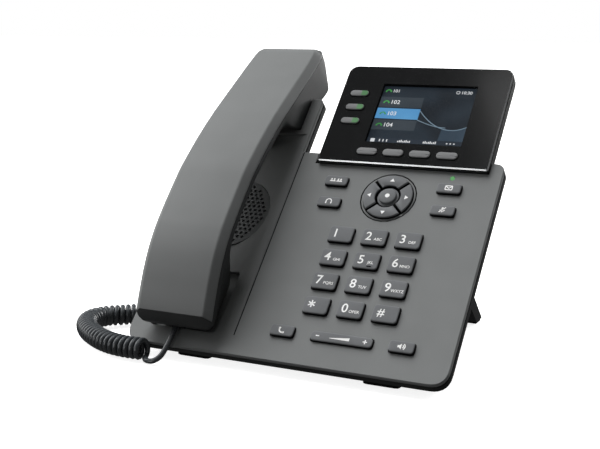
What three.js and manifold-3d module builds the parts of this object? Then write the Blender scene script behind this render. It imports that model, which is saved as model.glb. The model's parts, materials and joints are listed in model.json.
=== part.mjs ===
// A desk IP phone: a sloping base with keypad, cradle and raised display, a handset with its curly cord, and a stand.
// Millimetres, +Z up, +X to the user's right, +Y away from the user. The desk is Z = 0.
// Panel frame: x runs along the base's lower edge, y up the sloping face, z out of the face.
import * as THREE from "three";
import { mergeVertices } from "three/addons/utils/BufferGeometryUtils.js";
import Module from "manifold-3d";

const wasm = await Module();
wasm.setup();

// Driving dimensions
const TILT = THREE.MathUtils.degToRad(45.27); // slope of the base's face
const PANEL_LIFT = 8.5; // height of the face's lower edge above the desk
const BASE_WIDTH = 186;
const KEYPAD_TOP = 136; // where the keypad half ends, measured up the face
const TOWER_WIDTH = 64.3; // the cradle half runs on past the keypad half as a tower
const TOWER_TOP = 176.5;
const COVER = 2.6; // thickness of the front cover
const RIM = 7; // depth of the base's square edge
const BASE_DEPTH = 24; // from the face to the flat back
const BACK_INSET = 10; // how far the back is drawn in from the edge
const WALL = 2;
const GAP = 0.3; // between neighbouring pieces
const KEY_HEIGHT = 1.9; // above the face
const CRADLE_X = 32.5; // middle of the handset and its cradle
const GROOVE = { x: 65, half: 0.35, foot: 11.4, depth: 1.2 }; // between the cradle and the keypad
const DISPLAY = { left: 76.5, width: 101.6, height: 71.9, foot: 128.5, raise: 3.2, lean: 0.91 };
const GRILLE = { y: 91, radius: 23.4, face: -2.6 };
const CORD_RADIUS = 1.5;
const COIL_RADIUS = 6.5;

const material = (color, roughness, metalness = 0) =>
  new THREE.MeshStandardMaterial({ color, roughness, metalness });
const greyPlastic = material(0x7b7d7d, 0.6);
const keyPlastic = material(0x66686a, 0.5);
const blackPlastic = material(0x151617, 0.5);
const glossBlack = material(0x0d0e0f, 0.12);
const clearLens = material(0x20262c, 0.05);
const screenGlass = material(0x212a34, 0.2);
const greenLens = material(0x57c866, 0.3);
const rubber = material(0x121212, 0.85);
const siliconeMat = material(0x3a3d40, 0.8);
const boardGreen = material(0x1f5b38, 0.6);
const metal = material(0xb4b6b8, 0.35, 1);
const cordPlastic = material(0x1b1c1d, 0.45);
const plugPlastic = material(0x26282a, 0.3);

// --- Geometry helpers ---

function solidOf(geometry) {
  const plain = geometry.clone();
  plain.deleteAttribute("normal");
  plain.deleteAttribute("uv");
  const merged = mergeVertices(plain, 1e-4);
  return new wasm.Manifold(
    new wasm.Mesh({
      numProp: 3,
      vertProperties: merged.attributes.position.array,
      triVerts: new Uint32Array(merged.index.array),
    }),
  );
}

function geometryOf(solid) {
  const mesh = solid.getMesh();
  const geometry = new THREE.BufferGeometry();
  geometry.setAttribute("position", new THREE.BufferAttribute(mesh.vertProperties, 3));
  geometry.setIndex(new THREE.BufferAttribute(mesh.triVerts, 1));
  const flat = geometry.toNonIndexed();
  flat.computeVertexNormals();
  return flat;
}

const join = (...geometries) => geometryOf(geometries.map(solidOf).reduce((a, b) => a.add(b)));
const cut = (base, ...tools) => geometryOf(tools.map(solidOf).reduce((a, b) => a.subtract(b), solidOf(base)));
const common = (a, b) => geometryOf(solidOf(a).intersect(solidOf(b)));

// A closed polygon whose corner k is rounded with radius radii[k]; points run counter-clockwise.
function roundedOutline(points, radii) {
  const shape = new THREE.Shape();
  points.forEach(([x, y], k) => {
    const [px, py] = points.at(k - 1);
    const [nx, ny] = points[(k + 1) % points.length];
    const r = Array.isArray(radii) ? radii[k] : radii;
    const back = new THREE.Vector2(px - x, py - y).setLength(r);
    const ahead = new THREE.Vector2(nx - x, ny - y).setLength(r);
    if (k === 0) shape.moveTo(x + back.x, y + back.y);
    else shape.lineTo(x + back.x, y + back.y);
    if (r > 0) shape.quadraticCurveTo(x, y, x + ahead.x, y + ahead.y);
  });
  shape.closePath();
  return shape;
}

function rectangle(x, y, width, height, radii = 0) {
  const [w, h] = [width / 2, height / 2];
  return roundedOutline([[x - w, y - h], [x + w, y - h], [x + w, y + h], [x - w, y + h]], radii);
}

// A shape carried from z = low to z = high. edge bevels both rims inside the shape's outline.
function slab(shape, low, high, { edge = 0, segments = 3 } = {}) {
  const geometry = new THREE.ExtrudeGeometry(shape, {
    depth: high - low - 2 * edge,
    bevelEnabled: edge > 0,
    bevelThickness: edge,
    bevelSize: edge,
    bevelOffset: -edge,
    bevelSegments: 1,
    curveSegments: segments,
  });
  return geometry.translate(0, 0, low + edge);
}

// A block from z = low to z = high whose outline grows by spread on the way up.
function tapered(outline, low, high, spread) {
  const whole = new THREE.ExtrudeGeometry(outline, {
    depth: 0.01, bevelEnabled: true, bevelThickness: high - low, bevelSize: spread, bevelSegments: 1, curveSegments: 3,
  });
  const reach = 1000;
  return common(whole.translate(0, 0, high), box(-reach, -reach, low - 1, reach, reach, high + 0.005));
}

// A box from corner to corner.
function box(x0, y0, z0, x1, y1, z1) {
  return new THREE.BoxGeometry(x1 - x0, y1 - y0, z1 - z0).translate((x0 + x1) / 2, (y0 + y1) / 2, (z0 + z1) / 2);
}

// A profile in the y-z plane carried along x from x0 to x1.
function prism(profile, x0, x1) {
  const shape = new THREE.Shape(profile.map(([y, z]) => new THREE.Vector2(y, z)));
  const geometry = new THREE.ExtrudeGeometry(shape, { depth: x1 - x0, bevelEnabled: false });
  const turn = new THREE.Matrix4().makeBasis(
    new THREE.Vector3(0, 1, 0), new THREE.Vector3(0, 0, 1), new THREE.Vector3(1, 0, 0));
  return geometry.applyMatrix4(turn).translate(x0, 0, 0);
}

// A disc or ring about z, from a profile of [radius, height] points.
function turned(x, y, profile, segments = 24) {
  const points = profile.map(([r, z]) => new THREE.Vector2(r, z));
  return new THREE.LatheGeometry(points, segments).rotateX(Math.PI / 2).translate(x, y, 0);
}

const disc = (x, y, radius, low, high, segments = 24) =>
  turned(x, y, [[0, low], [radius, low], [radius, high], [0, high]], segments);

// A closed solid through rings of equal length; each ring is a list of [x, z] at its own y.
function loft(stations) {
  const flat = (ring) => ring.map(([x, z]) => new THREE.Vector2(x, z));
  const clockwise = THREE.ShapeUtils.area(flat(stations[0].ring)) < 0;
  const rings = stations.map(({ ring }) => (clockwise ? [...ring].reverse() : ring));
  const count = rings[0].length;
  const position = stations.flatMap(({ y }, s) => rings[s].flatMap(([x, z]) => [x, y, z]));
  const index = [];
  for (let s = 0; s + 1 < rings.length; s++)
    for (let k = 0; k < count; k++) {
      const [a, b] = [s * count + k, s * count + ((k + 1) % count)];
      index.push(a, a + count, b, b, a + count, b + count);
    }
  const cap = (s, facesBack) => {
    const outline = flat(rings[s]);
    for (const corners of THREE.ShapeUtils.triangulateShape(outline, [])) {
      const turnsLeft = THREE.ShapeUtils.area(corners.map((n) => outline[n])) > 0;
      index.push(...(turnsLeft === facesBack ? corners.reverse() : corners).map((n) => s * count + n));
    }
  };
  cap(0, false);
  cap(rings.length - 1, true);
  const geometry = new THREE.BufferGeometry();
  geometry.setAttribute("position", new THREE.Float32BufferAttribute(position, 3));
  geometry.setIndex(index);
  return geometry;
}

// A round bar along a smooth route through the given points.
function tube(points, radius, sides, steps) {
  const route = new THREE.CatmullRomCurve3(points.map((p) => new THREE.Vector3(...p)), false, "centripetal");
  const section = new THREE.Shape();
  for (let k = 0; k < sides; k++) {
    const angle = (2 * Math.PI * k) / sides;
    const [x, y] = [radius * Math.cos(angle), radius * Math.sin(angle)];
    if (k) section.lineTo(x, y);
    else section.moveTo(x, y);
  }
  return new THREE.ExtrudeGeometry(section, { steps, extrudePath: route });
}

// --- Scene graph: the desk frame holds the sloping panel, and the panel holds the display frame ---

const phone = new THREE.Group();
const desk = new THREE.Group();
const panel = new THREE.Group();
const display = new THREE.Group();
phone.add(desk);
desk.add(panel);
panel.add(display);
panel.position.set(0, 0, PANEL_LIFT);
panel.rotation.x = TILT;
display.position.set(0, DISPLAY.foot, DISPLAY.raise);
display.rotation.x = THREE.MathUtils.degToRad(DISPLAY.lean);

function add(group, name, geometry, look) {
  const mesh = new THREE.Mesh(geometry, look);
  mesh.name = name;
  group.add(mesh);
  return mesh;
}

// Moves a geometry that was drawn in the desk frame into the panel frame.
const deskToPanel = new THREE.Matrix4().makeRotationX(TILT).setPosition(0, 0, PANEL_LIFT).invert();
const fromDesk = (geometry) => geometry.applyMatrix4(deskToPanel);

// --- Base shapes shared by the front and rear covers ---

const baseOutline = (inset, radius) =>
  roundedOutline(
    [[inset, inset], [BASE_WIDTH - inset, inset], [BASE_WIDTH - inset, KEYPAD_TOP - inset],
      [TOWER_WIDTH - inset, KEYPAD_TOP - inset], [TOWER_WIDTH - inset, TOWER_TOP - inset],
      [inset, TOWER_TOP - inset]],
    [radius, radius, radius * 0.6, 0, 3, radius * 0.6]);

// The cradle's shallow trough: a round hollow whose depth grows from nothing near its lower end.
function trough(extra) {
  const [half, sag, top] = [30.5, 3.5, 1];
  const arcSteps = 16;
  const stationAt = (y, part) => {
    const ring = [];
    for (let k = 0; k <= arcSteps; k++) {
      const x = half * (1 - (2 * k) / arcSteps);
      ring.push([CRADLE_X + x, -(sag * part + 0.02) * (1 - (x / half) ** 2) - extra]);
    }
    ring.push([CRADLE_X - half, top], [CRADLE_X + half, top]);
    return { y, ring };
  };
  const ends = [[12, 0], [22, 0.35], [34, 0.75], [48, 1], [149, 1]];
  return loft(ends.map(([y, part]) => stationAt(y, part)));
}

// The deep well that takes the handset's ear end, open at the tower's top.
const WELL = { half: 24.6, slope: -0.2686, step: 155.8, stepDepth: -7 };
function earWell(extra) {
  const floor = (y) => WELL.stepDepth + WELL.slope * (y - WELL.step);
  const end = extra > 0 ? TOWER_TOP : TOWER_TOP + 4;
  const profile = [
    [150 - extra, extra > 0 ? -0.3 : 3],
    [WELL.step - 0.8 * extra, WELL.stepDepth - extra],
    [end, floor(end) - extra],
    [end, extra > 0 ? -0.3 : 3],
  ];
  return prism(profile, CRADLE_X - WELL.half - extra, CRADLE_X + WELL.half + extra);
}

const mouthWell = (extra) =>
  slab(rectangle(CRADLE_X, 31.25, 42 + 2 * extra, 40.5 + 2 * extra, 3), -5.4 - extra, extra > 0 ? -0.3 : 1);

// The neck pocket where the display module sits between the covers.
const displayPocket = box(
  DISPLAY.left - GAP, DISPLAY.foot - GAP, -12.6, DISPLAY.left + DISPLAY.width + GAP, KEYPAD_TOP + 5, 5);

// --- Keys: position, size and name of each, in the panel frame ---

const DIAL = { x: 106.35, y: 80.35, stepX: 19.52, stepY: 15.16, width: 14.2, height: 10.1 };
const dialNames = ["1", "2", "3", "4", "5", "6", "7", "8", "9", "star", "0", "hash"];
const keys = dialNames.map((label, k) => ({
  name: "key_" + label,
  x: DIAL.x + (k % 3) * DIAL.stepX,
  y: DIAL.y - Math.floor(k / 3) * DIAL.stepY,
  width: DIAL.width,
  height: DIAL.height,
}));
const functionKeys = [
  ["conference_key", 92.4, 115.9], ["headset_key", 92.4, 101.1], ["message_key", 159, 116.1],
  ["mute_key", 159, 101.4], ["call_key", 92.3, 17.6], ["speaker_key", 158.9, 17.6],
];
for (const [name, x, y] of functionKeys) keys.push({ name, x, y, width: 13.6, height: 6.4 });
const ROCKER = { name: "volume_rocker", x: 126.1, y: 17.4, width: 34.5, height: 5.6, pivot: -4.3, pivotRadius: 0.9 };
const NAV = { x: 125.7, y: 107.9, ok: 6.2, inner: 7.2, outer: 14.2, hole: 14.7, ring: 16 };
const KEY_CORNER = 1.8;
const KEY_PLAY = 0.4;
const FLANGE_TOP = -COVER - 0.4;

const keyHole = ({ x, y, width, height }) =>
  slab(rectangle(x, y, width + 2 * KEY_PLAY, height + 2 * KEY_PLAY, KEY_CORNER), -COVER - 1, 1, { segments: 2 });

function keyCap({ x, y, width, height }) {
  const cap = slab(rectangle(x, y, width, height, KEY_CORNER), FLANGE_TOP - 0.5, KEY_HEIGHT, { edge: 0.45, segments: 2 });
  const flange = slab(rectangle(x, y, width + 2, height + 2), FLANGE_TOP - 1, FLANGE_TOP);
  return join(cap, flange);
}

// --- Front cover ---

const LED = { x: 158.7, y: 124, radius: 1.2 };
// The hook plunger rises 2.7 mm as the handset leaves; its flange stays below the cover.
const PLUNGER = { y: 163, width: 5, top: -8, flange: 7.2, flangeTop: -15.1, foot: -17.2 };
const TAB = { y: 142.5, width: 9, height: 6 };

function frontCover() {
  const plate = slab(baseOutline(0, 10), -COVER, 0, { edge: 0.5, segments: 7 });
  const skin = [trough(COVER), earWell(WALL), mouthWell(WALL)];
  const underside = box(0, 0, -40, BASE_WIDTH, TOWER_TOP, -0.6);
  const body = join(plate, ...skin.map((part) => common(part, underside)));
  const groove = box(GROOVE.x - GROOVE.half, GROOVE.foot, -GROOVE.depth, GROOVE.x + GROOVE.half, KEYPAD_TOP + 1, 1);
  const cordNotch = box(CRADLE_X - 4.5, -1, -1.8, CRADLE_X + 0.5, 12, 1);
  const displayNotch = box(74.5, DISPLAY.foot - GAP, -COVER - 1, DISPLAY.left + DISPLAY.width + GAP, KEYPAD_TOP + 1, 1);
  const half = PLUNGER.width / 2 + 0.4;
  return cut(
    body, trough(0), earWell(0), mouthWell(0), groove, cordNotch, displayNotch,
    disc(CRADLE_X, GRILLE.y, GRILLE.radius + 0.4, -12, 2),
    disc(NAV.x, NAV.y, NAV.hole, -COVER - 1, 1),
    turned(NAV.x, NAV.y, [[NAV.ring - 0.5, -0.7], [NAV.ring + 0.3, -0.7], [NAV.ring + 0.3, 1], [NAV.ring - 0.5, 1],
      [NAV.ring - 0.5, -0.7]]),
    disc(LED.x, LED.y, LED.radius + 0.3, -COVER - 1, 1, 12),
    box(CRADLE_X - half, PLUNGER.y - half, -20, CRADLE_X + half, PLUNGER.y + half, 0),
    box(CRADLE_X - TAB.width / 2 - 0.4, TAB.y - TAB.height / 2 - 0.4, -12,
      CRADLE_X + TAB.width / 2 + 0.4, TAB.y + TAB.height / 2 + 0.4, 1),
    keyHole(ROCKER), ...keys.map(keyHole));
}
add(panel, "front_cover", frontCover(), greyPlastic);

// --- Rear cover ---

// The room behind the rim: its sides are drawn in evenly down to the flat back.
function taperedBlock(inset, top, back) {
  const slope = (BACK_INSET - 1) / (BASE_DEPTH - RIM);
  const backInset = inset + 1 + slope * (-back - RIM);
  return tapered(baseOutline(backInset, 4), back, top, slope * (top - back));
}

const JACKS = { left: 98, right: 148, near: 62.7, far: 75, low: 35.7, high: 49.5 };
const HANDSET_JACK = { y: 40, z: -14.5, depth: 13, left: 12.3, width: 11, height: 10 };

function rearCover() {
  const UNDERSIDE = 3.4; // height of the flat underside above the desk
  const rim = slab(baseOutline(0, 10), -RIM - 0.5, -COVER - GAP, { edge: 0.5, segments: 7 });
  const bulgeFoot = JACKS.low;
  const bulge = fromDesk(prism([[56, bulgeFoot], [76.7, bulgeFoot], [76.7, bulgeFoot + 20], [56, bulgeFoot + 20]], 94, 152));
  const bulgeCore = fromDesk(prism(
    [[JACKS.near - GAP, bulgeFoot - 5], [JACKS.far + GAP, bulgeFoot - 5],
      [JACKS.far + GAP, JACKS.high + GAP], [JACKS.near - GAP, JACKS.high + GAP]],
    JACKS.left - GAP, JACKS.right + GAP));
  const aboveDesk = (height) => fromDesk(box(-60, -80, height, BASE_WIDTH + 60, 260, 260));
  const inFrontOfBack = box(-50, -50, -BASE_DEPTH - 20, BASE_WIDTH + 50, TOWER_TOP + 50, -BASE_DEPTH + WALL);
  const outer = common(join(rim, taperedBlock(0, -RIM, -BASE_DEPTH), common(bulge, inFrontOfBack)), aboveDesk(UNDERSIDE));
  const wholeCavity = join(
    slab(baseOutline(WALL + 0.4, 8), -RIM - 0.6, 0, { segments: 3 }),
    taperedBlock(WALL, -RIM - 0.5, -BASE_DEPTH + WALL));
  const pocketWall = box(DISPLAY.left - 2.4, DISPLAY.foot - 2.4, -14.8, DISPLAY.left + DISPLAY.width + 2.4, 200, 0);
  const cavity = cut(common(wholeCavity, aboveDesk(UNDERSIDE + WALL)), pocketWall);
  const jackPort = box(-5, HANDSET_JACK.y - HANDSET_JACK.width / 2, HANDSET_JACK.z - HANDSET_JACK.height / 2,
    HANDSET_JACK.left + 2, HANDSET_JACK.y + HANDSET_JACK.width / 2, HANDSET_JACK.z + HANDSET_JACK.height / 2);
  return cut(outer, cavity, displayPocket, earWell(WALL + GAP), bulgeCore, jackPort);
}
add(panel, "rear_cover", rearCover(), blackPlastic);

// --- Parts inside and behind the base ---

const BOARD = { top: -8, bottom: -9.6 };
add(panel, "main_board", slab(rectangle(124, 67.5, 108, 111, 2), BOARD.bottom, BOARD.top, { segments: 1 }), boardGreen);
add(panel, "keypad_mat", slab(rectangle(126, 66, 84, 110, 3), -7.2, -5.7, { segments: 1 }), siliconeMat);
add(panel, "message_led", disc(LED.x, LED.y, LED.radius, BOARD.top + GAP, 0.25, 12), greenLens);

add(panel, "speaker_grille", turned(CRADLE_X, GRILLE.y, [
  [0, GRILLE.face - 1.6], [GRILLE.radius - 1.4, GRILLE.face - 1.6], [GRILLE.radius - 1.4, -7.9],
  [GRILLE.radius, -7.9], [GRILLE.radius, GRILLE.face - 0.5], [GRILLE.radius - 0.5, GRILLE.face], [0, GRILLE.face]],
  32), blackPlastic);
add(panel, "speaker_driver", turned(CRADLE_X, GRILLE.y, [
  [0, -19], [11, -19], [11, -14], [13, -14], [21, -9.8], [22, -9.8], [22, -8.2], [0, -8.2]], 20), metal);

add(panel, "hanger_tab", join(
  box(CRADLE_X - TAB.width / 2, TAB.y - TAB.height / 2, -6.4, CRADLE_X + TAB.width / 2, TAB.y + TAB.height / 2, -1.5),
  prism([[TAB.y - TAB.height / 2, -1.5], [TAB.y + TAB.height / 2, -1.5], [TAB.y + TAB.height / 2, 1.5],
    [TAB.y, 1.5]], CRADLE_X - TAB.width / 2, CRADLE_X + TAB.width / 2)), greyPlastic);

add(panel, "hook_plunger", join(
  slab(rectangle(CRADLE_X, PLUNGER.y, PLUNGER.width, PLUNGER.width), PLUNGER.foot + 1, PLUNGER.top, { edge: 0.4 }),
  slab(rectangle(CRADLE_X, PLUNGER.y, PLUNGER.flange, PLUNGER.flange), PLUNGER.foot, PLUNGER.flangeTop)), blackPlastic);

function networkJacks() {
  const body = box(JACKS.left, JACKS.near, JACKS.low + 0.2, JACKS.right, JACKS.far, JACKS.high);
  const middle = (JACKS.near + JACKS.far) / 2;
  const socket = (x) => box(x - 5.85, middle - 4.1, JACKS.low - 1, x + 5.85, middle + 4.1, JACKS.low + 11);
  return cut(body, socket(106.5), socket(122.5), disc(139, middle, 3.3, JACKS.low - 1, JACKS.low + 10, 12));
}
add(desk, "network_jacks", networkJacks(), metal);

// Modular socket and plug: the plug lies along +x with its cord end at x = from.
const PLUG = { width: 7.6, height: 6.4, length: 12 };
function modularJack(from, y, z, length) {
  const shell = box(from, y - 5.2, z - 4.7, from + length, y + 5.2, z + 4.7);
  return cut(shell, box(from - 1, y - 4.15, z - 3.55, from + length - 2, y + 4.15, z + 3.55));
}
add(panel, "handset_jack",
  modularJack(HANDSET_JACK.left, HANDSET_JACK.y, HANDSET_JACK.z, HANDSET_JACK.depth), blackPlastic);
const BASE_PLUG_FROM = 6;
add(panel, "base_plug", box(BASE_PLUG_FROM, HANDSET_JACK.y - PLUG.width / 2, HANDSET_JACK.z - PLUG.height / 2,
  BASE_PLUG_FROM + PLUG.length + 4, HANDSET_JACK.y + PLUG.width / 2, HANDSET_JACK.z + PLUG.height / 2), plugPlastic);

// --- Display module, in its own frame: x as on the panel, y from its foot, z from its face ---

const displayMiddle = [DISPLAY.left + DISPLAY.width / 2, DISPLAY.height / 2];
const displayOutline = (inset, top, foot) =>
  rectangle(...displayMiddle, DISPLAY.width - 2 * inset, DISPLAY.height - 2 * inset, [foot, foot, top, top]);
const LCD = { x: 130.65, y: 36.65, width: 57.6, height: 43.2 };
const LENS = { x: LCD.x, y: LCD.y, width: 63.4, height: 48.4 };
const SIDE_KEY = { x: 88.6, y: [50, 39.6, 29.3], width: 11.7, height: 4.4 };
const SOFT_KEY = { x: 105.5, step: 15.9, y: 7.8, width: 12.5, height: 4.8 };
const BEZEL = 2;
const displayKeys = [
  ...SIDE_KEY.y.map((y, k) => ({ name: "line_key_" + (k + 1), ...SIDE_KEY, y })),
  ...[0, 1, 2, 3].map((k) => ({ ...SOFT_KEY, name: "soft_key_" + (k + 1), x: SOFT_KEY.x + k * SOFT_KEY.step })),
];
const pill = ({ x, y, width, height }, extra) =>
  rectangle(x, y, width + 2 * extra, height + 2 * extra, height / 2 + extra - 0.1);

add(display, "display_bezel", cut(
  slab(displayOutline(0, 6, 1), -BEZEL, 0, { edge: 0.7, segments: 4 }),
  slab(rectangle(LENS.x, LENS.y, LENS.width + 2 * GAP, LENS.height + 2 * GAP, 1), -BEZEL - 1, 1, { segments: 1 }),
  ...displayKeys.map((key) => slab(pill(key, GAP), -BEZEL - 1, 1, { segments: 4 }))), glossBlack);
add(display, "display_window",
  slab(rectangle(LENS.x, LENS.y, LENS.width, LENS.height, 1), -BEZEL + 0.3, -0.02, { segments: 1 }), clearLens);
add(display, "lcd_panel", slab(rectangle(LCD.x, LCD.y, 64.5, 49.6), -5.2, -BEZEL - GAP), screenGlass);
add(display, "display_board",
  slab(rectangle(...displayMiddle, 93, 63.5, 2), -8, -6.6, { segments: 1 }), boardGreen);

function displayHousing() {
  const [rim, back, inset] = [-8, -15, 8];
  const taper = (shrink, top, floor) => tapered(displayOutline(inset + shrink, 3, 1), floor, top, inset - 1);
  const outer = join(slab(displayOutline(0, 6, 1), rim - 0.4, -BEZEL - GAP, { edge: 0.4, segments: 4 }), taper(0, rim, back));
  const cavity = join(slab(displayOutline(2.2, 5, 1), rim - 0.5, 0, { segments: 3 }), taper(2.2, rim - 0.4, back + 2));
  return cut(outer, cavity);
}
add(display, "display_housing", displayHousing(), blackPlastic);

for (const key of displayKeys) {
  const cap = slab(pill(key, 0), -BEZEL - 0.6, 0.9, { edge: 0.35, segments: 3 });
  const flange = slab(rectangle(key.x, key.y, key.width + 1.4, key.height + 1.4), -BEZEL - 1.3, -BEZEL - GAP);
  add(display, key.name, join(cap, flange), keyPlastic);
}

// --- Panel keys ---

for (const key of keys) add(panel, key.name, keyCap(key), keyPlastic);

// The rocker turns on a round bar across its middle; its flange is short, so that the ends have room.
function volumeRocker() {
  const { x, y, width, height, pivot, pivotRadius } = ROCKER;
  const cap = slab(rectangle(x, y, width, height, 2), FLANGE_TOP - 0.6, KEY_HEIGHT - 0.4, { edge: 0.45, segments: 2 });
  const flange = slab(rectangle(x, y, 14, height + 2), FLANGE_TOP - 1.1, FLANGE_TOP - 0.4);
  const bar = new THREE.CylinderGeometry(pivotRadius, pivotRadius, height + 2, 20).translate(x, y, pivot);
  return join(cap, flange, bar);
}
add(panel, ROCKER.name, volumeRocker(), keyPlastic);

// One quarter of the arrow ring: an arc between two radii, with a straight gap to its neighbours.
function arrowShape(middle, inner, outer, gap) {
  const edge = (radius, side) => middle + side * (Math.PI / 4 - gap / 2 / radius);
  const shape = new THREE.Shape();
  shape.absarc(NAV.x, NAV.y, outer, edge(outer, -1), edge(outer, 1), false);
  shape.absarc(NAV.x, NAV.y, inner, edge(inner, 1), edge(inner, -1), true);
  return shape;
}
["right", "up", "left", "down"].forEach((name, k) => {
  const middle = (k * Math.PI) / 2;
  const cap = slab(arrowShape(middle, NAV.inner, NAV.outer, 1.4), FLANGE_TOP - 0.5, KEY_HEIGHT - 0.3, { edge: 0.35, segments: 6 });
  const flange = slab(arrowShape(middle, NAV.inner, NAV.ring, 1.4), FLANGE_TOP - 1, FLANGE_TOP, { segments: 6 });
  add(panel, "nav_" + name, join(cap, flange), keyPlastic);
});
add(panel, "nav_ok", turned(NAV.x, NAV.y, [
  [0, FLANGE_TOP - 1], [NAV.ok, FLANGE_TOP - 1], [NAV.ok, KEY_HEIGHT - 0.9], [NAV.ok - 0.5, KEY_HEIGHT - 0.4],
  [0, KEY_HEIGHT - 0.4]], 20), keyPlastic);

// --- Feet and stand ---

const FOOT = { left: 27.5, width: 20.5, near: 10.2, depth: 9.5, height: 3.1 };
for (const [name, x] of [["front_foot_left", FOOT.left], ["front_foot_right", BASE_WIDTH - FOOT.left - FOOT.width]])
  add(desk, name, slab(rectangle(x + FOOT.width / 2, FOOT.near + FOOT.depth / 2, FOOT.width, FOOT.depth, 2.5),
    0, FOOT.height, { edge: 0.5, segments: 2 }), rubber);

const STAND = { left: 26, right: 160, low: 92.4, high: 100.4, plateTop: 127, pad: 1.5 };
function stand() {
  const back = -BASE_DEPTH - GAP;
  const plate = box(STAND.left + 16, STAND.low, back - 3, STAND.right - 16, STAND.plateTop, back);
  const leg = box(STAND.left, STAND.low, -140, STAND.right, STAND.high, back);
  const ribProfile = [[STAND.high - 1, back - 1], [STAND.high - 1, -70], [STAND.high, -70], [STAND.plateTop, back - 3],
    [STAND.plateTop, back - 1]];
  const rib = (x) => prism(ribProfile, x, x + 3);
  const window = slab(rectangle(93, -66, 84, 56, 8), -1, 12);
  window.rotateX(Math.PI / 2).translate(0, STAND.high + 2.6, 0);
  const feetLine = fromDesk(box(-20, -50, STAND.pad + GAP, BASE_WIDTH + 20, 250, 250));
  const whole = join(plate, leg, rib(STAND.left + 16), rib(STAND.right - 19));
  return common(cut(whole, window), feetLine);
}
add(panel, "stand", stand(), blackPlastic);
// The leg's foot line where it crosses the pad, in the desk frame.
const footY = (slope, height) => (slope - (height - PANEL_LIFT) * Math.sin(TILT)) / Math.cos(TILT);
add(desk, "stand_pad",
  box(STAND.left + 1, footY(STAND.low, 0) + 0.6, 0, STAND.right - 1, footY(STAND.high, 0) - 1.4, STAND.pad), rubber);

// --- Handset ---

// Its sections across, from the mouth end to the ear end: place along the panel, half width, height of the
// top, height where the side wall ends, height of the underside, half width of the underside.
const SECTIONS = [
  [8.6, 20, 9.4, 8, 7, 17],
  [10, 22.6, 12.6, 7.4, 4, 17],
  [11.8, 23.7, 15.9, 8, 0.5, 16.5],
  [14, 24, 17.2, 9, -2.6, 16],
  [17, 24, 18.8, 10.4, -4.4, 16],
  [24, 24, 22, 13.4, -4.4, 16],
  [32, 24, 25.4, 16.8, -4.4, 16],
  [42, 24, 28.8, 20.2, -4.4, 16],
  [47, 24, 30.1, 21.5, -3, 15.5],
  [52, 24, 31.1, 22.5, 3.5, 15],
  [60, 24, 32.2, 23.6, 9.5, 14],
  [75, 24, 33, 24.4, 13, 13],
  [93, 24, 33.2, 24.6, 14, 13],
  [112, 24, 31.5, 22.9, 13.4, 13],
  [130, 24, 28.8, 20.2, 12, 14],
  [138, 24, 27.2, 19, 11.2, 15],
  [143, 24, 26.2, 16.2, 10, 18],
  [147, 24, 25.2, 8.6, 7, 20],
  [151, 24, 24.2, 2.7, 1, 22],
  [157, 24, 22.7, -3.5, -5.2, 22],
  [170, 24, 19.4, -7.2, -8.8, 22],
  [185, 24, 15.6, -11.4, -13, 22],
  [197, 23.8, 12.6, -14.9, -16.4, 22],
  [201, 23.6, 11.6, -8.4, -10, 21.5],
  [206, 23, 10.2, -1, -2.4, 21],
  [209.4, 21.5, 8.4, 4.8, 4, 19.5],
];
const CHAMFER = { side: 3.7, drop: 4.2, seam: 4.7 };

function handsetRing([, half, top, side, low, lowHalf], inward) {
  const drop = Math.min(CHAMFER.drop, (top - side) * 0.5);
  const [h, t, s, b, l] = [half - inward, top - inward, side + inward / 2, low + inward, lowHalf - inward * 0.8];
  const right = [
    [l, b],
    [l + 0.4 * (h - l), b + 0.35 * (s - b)],
    [h, s],
    [h, t - drop],
    [h - CHAMFER.side + inward * 0.4, t],
  ];
  const left = [...right].reverse().map(([x, z]) => [-x, z]);
  return [...right, ...left].map(([x, z]) => [CRADLE_X + x, z]);
}

const handsetBody = (sections, inward) =>
  loft(sections.map((section) => ({ y: section[0], ring: handsetRing(section, inward) })));

// Everything above the seam between the two shells, which runs just under the chamfer.
function aboveSeam(shift) {
  const from = SECTIONS.findIndex(([y]) => y > 11);
  const last = SECTIONS.at(-1);
  const sections = [...SECTIONS.slice(from), [last[0] + 5, ...last.slice(1)]];
  return loft(sections.map(([y, , top, side]) => {
    const seam = top - Math.min(CHAMFER.seam, (top - side) * 0.6) + shift;
    return { y, ring: [[CRADLE_X + 40, seam], [CRADLE_X - 40, seam], [CRADLE_X - 40, 60], [CRADLE_X + 40, 60]] };
  }));
}

const MOUTH_PLUG = { x: 30.5, from: 11.5, z: 2.4 };
const handsetGroup = new THREE.Group();
panel.add(handsetGroup);
const hollow = () => handsetBody(SECTIONS.filter(([y]) => y >= 17 && y <= 197), WALL);
const handsetOuter = handsetBody(SECTIONS, 0);
const plugHole = box(MOUTH_PLUG.x - 4.2, 0, MOUTH_PLUG.z - 3.6, MOUTH_PLUG.x + 4.2, 26, MOUTH_PLUG.z + 3.6);
add(handsetGroup, "handset_front_shell", cut(common(handsetOuter, aboveSeam(0)), hollow()), greyPlastic);
add(handsetGroup, "handset_back_shell", cut(handsetOuter, aboveSeam(-GAP), hollow(), plugHole), blackPlastic);
add(handsetGroup, "handset_plug",
  box(MOUTH_PLUG.x - PLUG.width / 2, MOUTH_PLUG.from, MOUTH_PLUG.z - PLUG.height / 2,
    MOUTH_PLUG.x + PLUG.width / 2, MOUTH_PLUG.from + PLUG.length, MOUTH_PLUG.z + PLUG.height / 2), plugPlastic);
add(handsetGroup, "microphone", disc(CRADLE_X, 36, 4.9, -2, 2.4, 16), metal);
const receiver = add(handsetGroup, "earpiece_receiver", disc(0, 0, 14, 0, 5.5, 20), blackPlastic);
receiver.position.set(CRADLE_X, 176, -7.6);
receiver.rotation.x = Math.atan(WELL.slope);

// --- Handset cord, in the desk frame ---

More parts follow.
